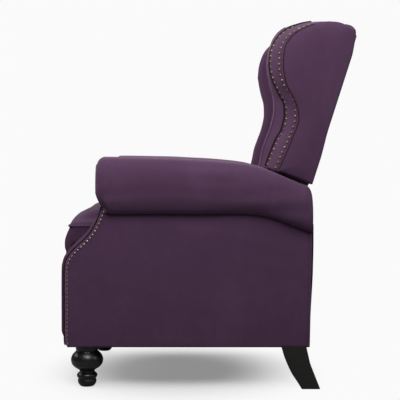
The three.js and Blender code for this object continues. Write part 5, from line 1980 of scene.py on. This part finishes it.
@dataclass
class FrameAndMechanism:
    """The timber frame and the steel mechanism, kept as they are and dressed, with rivet heads."""

    shop: Workshop
    nodes: dict[str, bpy.types.Object]
    slots: dict[str, str]
    rivet: float = 8.0
    rivet_height: float = 2.0
    bracket_pins: tuple[Triple, ...] = ((239.35, -330.0, 290.0), (239.35, -330.0, 250.0))
    drag_pins: tuple[Triple, ...] = ((233.15, 230.3, 325.07), (233.15, 120.3, 325.07))

    def build(self) -> None:
        """Gives every carried-over node its material and adds rivet heads on the free pivots."""
        finishes = {
            Slot.TIMBER.value: Finish.TIMBER,
            Slot.STEEL.value: Finish.STEEL,
            Slot.BLACK_WOOD.value: Finish.SATIN,
            Slot.LINING.value: Finish.LINING,
        }
        for name, node in self.nodes.items():
            for place in node.material_slots:
                place.material = self.shop.material(finishes.get(self.slots.get(name, ""), Finish.PLUM))
        self.rivets("bracket_rivets", self.bracket_pins, Body.FOOTREST)
        self.rivets("drag_rivets", self.drag_pins, Body.DRAG)

    def rivets(self, name: str, places: tuple[Triple, ...], body: Body) -> None:
        """Low domes on the outer face of a link.

        Args:
            name: the pieces' name.
            places: the middle of each rivet on the left link.
            body: the body that the links belong to.
        """
        normals = np.tile([1.0, 0.0, 0.0], (len(places), 1))
        heads = dome_skin(np.array(places), normals, self.rivet, self.rivet_height, 16)
        self.shop.add_pair(name, heads, Finish.RIVET, body)


# Floor, light and camera


@dataclass
class Studio:
    """A pale floor, soft lamps and the camera, all in metres."""

    eye: Triple = (3.300, -0.018, 0.668)
    horizon: float = 0.06
    tilt_down: float = 1.388
    turn_pixels: float = 2.0
    focal_pixels: float = 1073.6
    lens: float = 96.6
    sensor: float = 36.0
    backdrop: float = 0.955
    surround: float = 0.075
    floor_half: float = 14.0
    floor_lift: float = 0.28
    floor_grey: float = 0.86
    floor_bounce: float = 0.25

    def build(self) -> None:
        """Sets up the whole studio."""
        self.camera()
        self.floor()
        self.world()
        self.lamps()
        bpy.context.scene.view_settings.view_transform = "Standard"

    def camera(self) -> None:
        """A long, nearly level lens above the arms, with its frame lowered to keep uprights upright."""
        data = bpy.data.cameras.new("side_view")
        data.lens = self.lens
        data.sensor_width = self.sensor
        data.shift_y = -self.horizon
        camera = bpy.data.objects.new("side_view", data)
        bpy.context.scene.collection.objects.link(camera)
        tilt = math.tan(math.radians(self.tilt_down))
        aim = Vector((-1.0, -self.turn_pixels / self.focal_pixels, -tilt))
        camera.location = self.eye
        camera.rotation_euler = aim.to_track_quat("-Z", "Y").to_euler()
        bpy.context.scene.camera = camera

    def floor(self) -> None:
        """A wide floor under the chair."""
        half = self.floor_half
        mesh = bpy.data.meshes.new("floor")
        corners = [(-half, -half, 0), (half, -half, 0), (half, half, 0), (-half, half, 0)]
        mesh.from_pydata(corners, [], [[0, 1, 2, 3]])
        mesh.materials.append(self._floor_material())
        floor = bpy.data.objects.new("floor", mesh)
        bpy.context.scene.collection.objects.link(floor)

    def _floor_material(self) -> Material:
        """Pale and matt near the chair, fading into the plain backdrop colour far from it.

        The fade follows a smooth step over the distance from the chair, for the camera alone. Light
        that bounces meets a darker grey.

        Returns:
            the material.
        """
        material = bpy.data.materials.new("pale_floor")
        material.use_nodes = True
        wires = Wiring(material.node_tree)
        shader = wires.tree.nodes["Principled BSDF"]
        seen = wires.node("LightPath").outputs["Is Camera Ray"]
        base = wires.mix(seen, grey(self.floor_bounce), grey(self.floor_grey))
        wires.feed(shader, {"Base Color": base, "Roughness": 0.75, "Specular IOR Level": 0.25})
        plain = wires.node("Emission", {"Color": grey(self.backdrop), "Strength": 1.0})
        mapping = wires.node("Mapping", {
            "Vector": wires.object_coords(), "Scale": (1.0, 1.1, 1.0), "Location": (-0.05, 0.11, 0.0),
        })
        far = wires.node("VectorMath", {0: mapping.outputs["Vector"]}, operation="LENGTH")
        fade = wires.node("MapRange", {
            "Value": far.outputs["Value"], "From Min": 0.15, "From Max": 0.52, "To Min": self.floor_lift,
        }, interpolation_type="SMOOTHSTEP")
        share = wires.math("MULTIPLY", fade.outputs["Result"], seen)
        mix = wires.node("MixShader", {"Fac": share, 1: shader.outputs["BSDF"], 2: plain.outputs["Emission"]})
        wires.feed(wires.tree.nodes["Material Output"], {"Surface": mix.outputs["Shader"]})
        return material

    def world(self) -> None:
        """A white surround for the eye and through glass, and a dimmer one that lights the chair."""
        world = bpy.data.worlds.new("surround")
        world.use_nodes = True
        wires = Wiring(world.node_tree)
        wires.tree.nodes.clear()
        soft = wires.node("Background", {"Color": grey(1.0), "Strength": self.surround})
        white = wires.node("Background", {"Color": grey(self.backdrop), "Strength": 1.0})
        path = wires.node("LightPath").outputs
        seen = wires.math("MAXIMUM", path["Is Camera Ray"], path["Is Transmission Ray"])
        mix = wires.node(
            "MixShader", {"Fac": seen, 1: soft.outputs["Background"], 2: white.outputs["Background"]}
        )
        wires.node("OutputWorld", {"Surface": mix.outputs["Shader"]})
        bpy.context.scene.world = world

    def lamps(self) -> None:
        """Soft boxes: overhead, high on the near and far sides, in front, across the front and behind."""
        for name, place, target, size, watts in (
            ("overhead_box", (-0.6, -0.6, 2.45), (-0.1, -0.2, 0.4), 1.6, 15.0),
            ("near_box", (1.38, -0.12, 1.72), (0.2, 0.0, 0.85), 1.0, 23.8),
            ("front_box", (-0.5, -2.3, 1.8), (0.0, 0.0, 0.7), 1.2, 12.0),
            ("cross_box", (0.5, -0.95, 1.85), (-0.3, 0.15, 0.8), 0.4, 8.0),
            ("rear_box", (0.9, 2.4, 1.9), (0.0, 0.0, 0.7), 1.2, 12.0),
            ("far_box", (-1.7, 0.0, 1.9), (-0.2, 0.0, 0.85), 1.0, 26.0),
        ):
            data = bpy.data.lights.new(name, "AREA")
            data.shape = "SQUARE"
            data.size = size
            data.energy = watts
            lamp = bpy.data.objects.new(name, data)
            bpy.context.scene.collection.objects.link(lamp)
            lamp.location = place
            aim = Vector(target) - Vector(place)
            lamp.rotation_euler = aim.to_track_quat("-Z", "Y").to_euler()


def main() -> None:
    """Builds the chair's sub-assemblies in order, then the studio, logging each by name."""
    logging.basicConfig(level=logging.INFO, format="%(message)s")
    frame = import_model()
    slots = {row["node"]: row.get("material_slot", "") for row in frame["record"].get("subparts", [])}
    shop = Workshop()
    for assembly in (
        FrameAndMechanism(shop, frame["nodes"], slots),
        BaseShell(shop),
        Legs(shop),
        SeatCushion(shop),
        BackUpholstery(shop),
        Wing(shop),
        Footrest(shop),
        Studio(),
    ):
        log.info("building %s", type(assembly).__name__)
        assembly.build()
    bpy.context.view_layer.update()


if __name__ == "__main__":
    main()
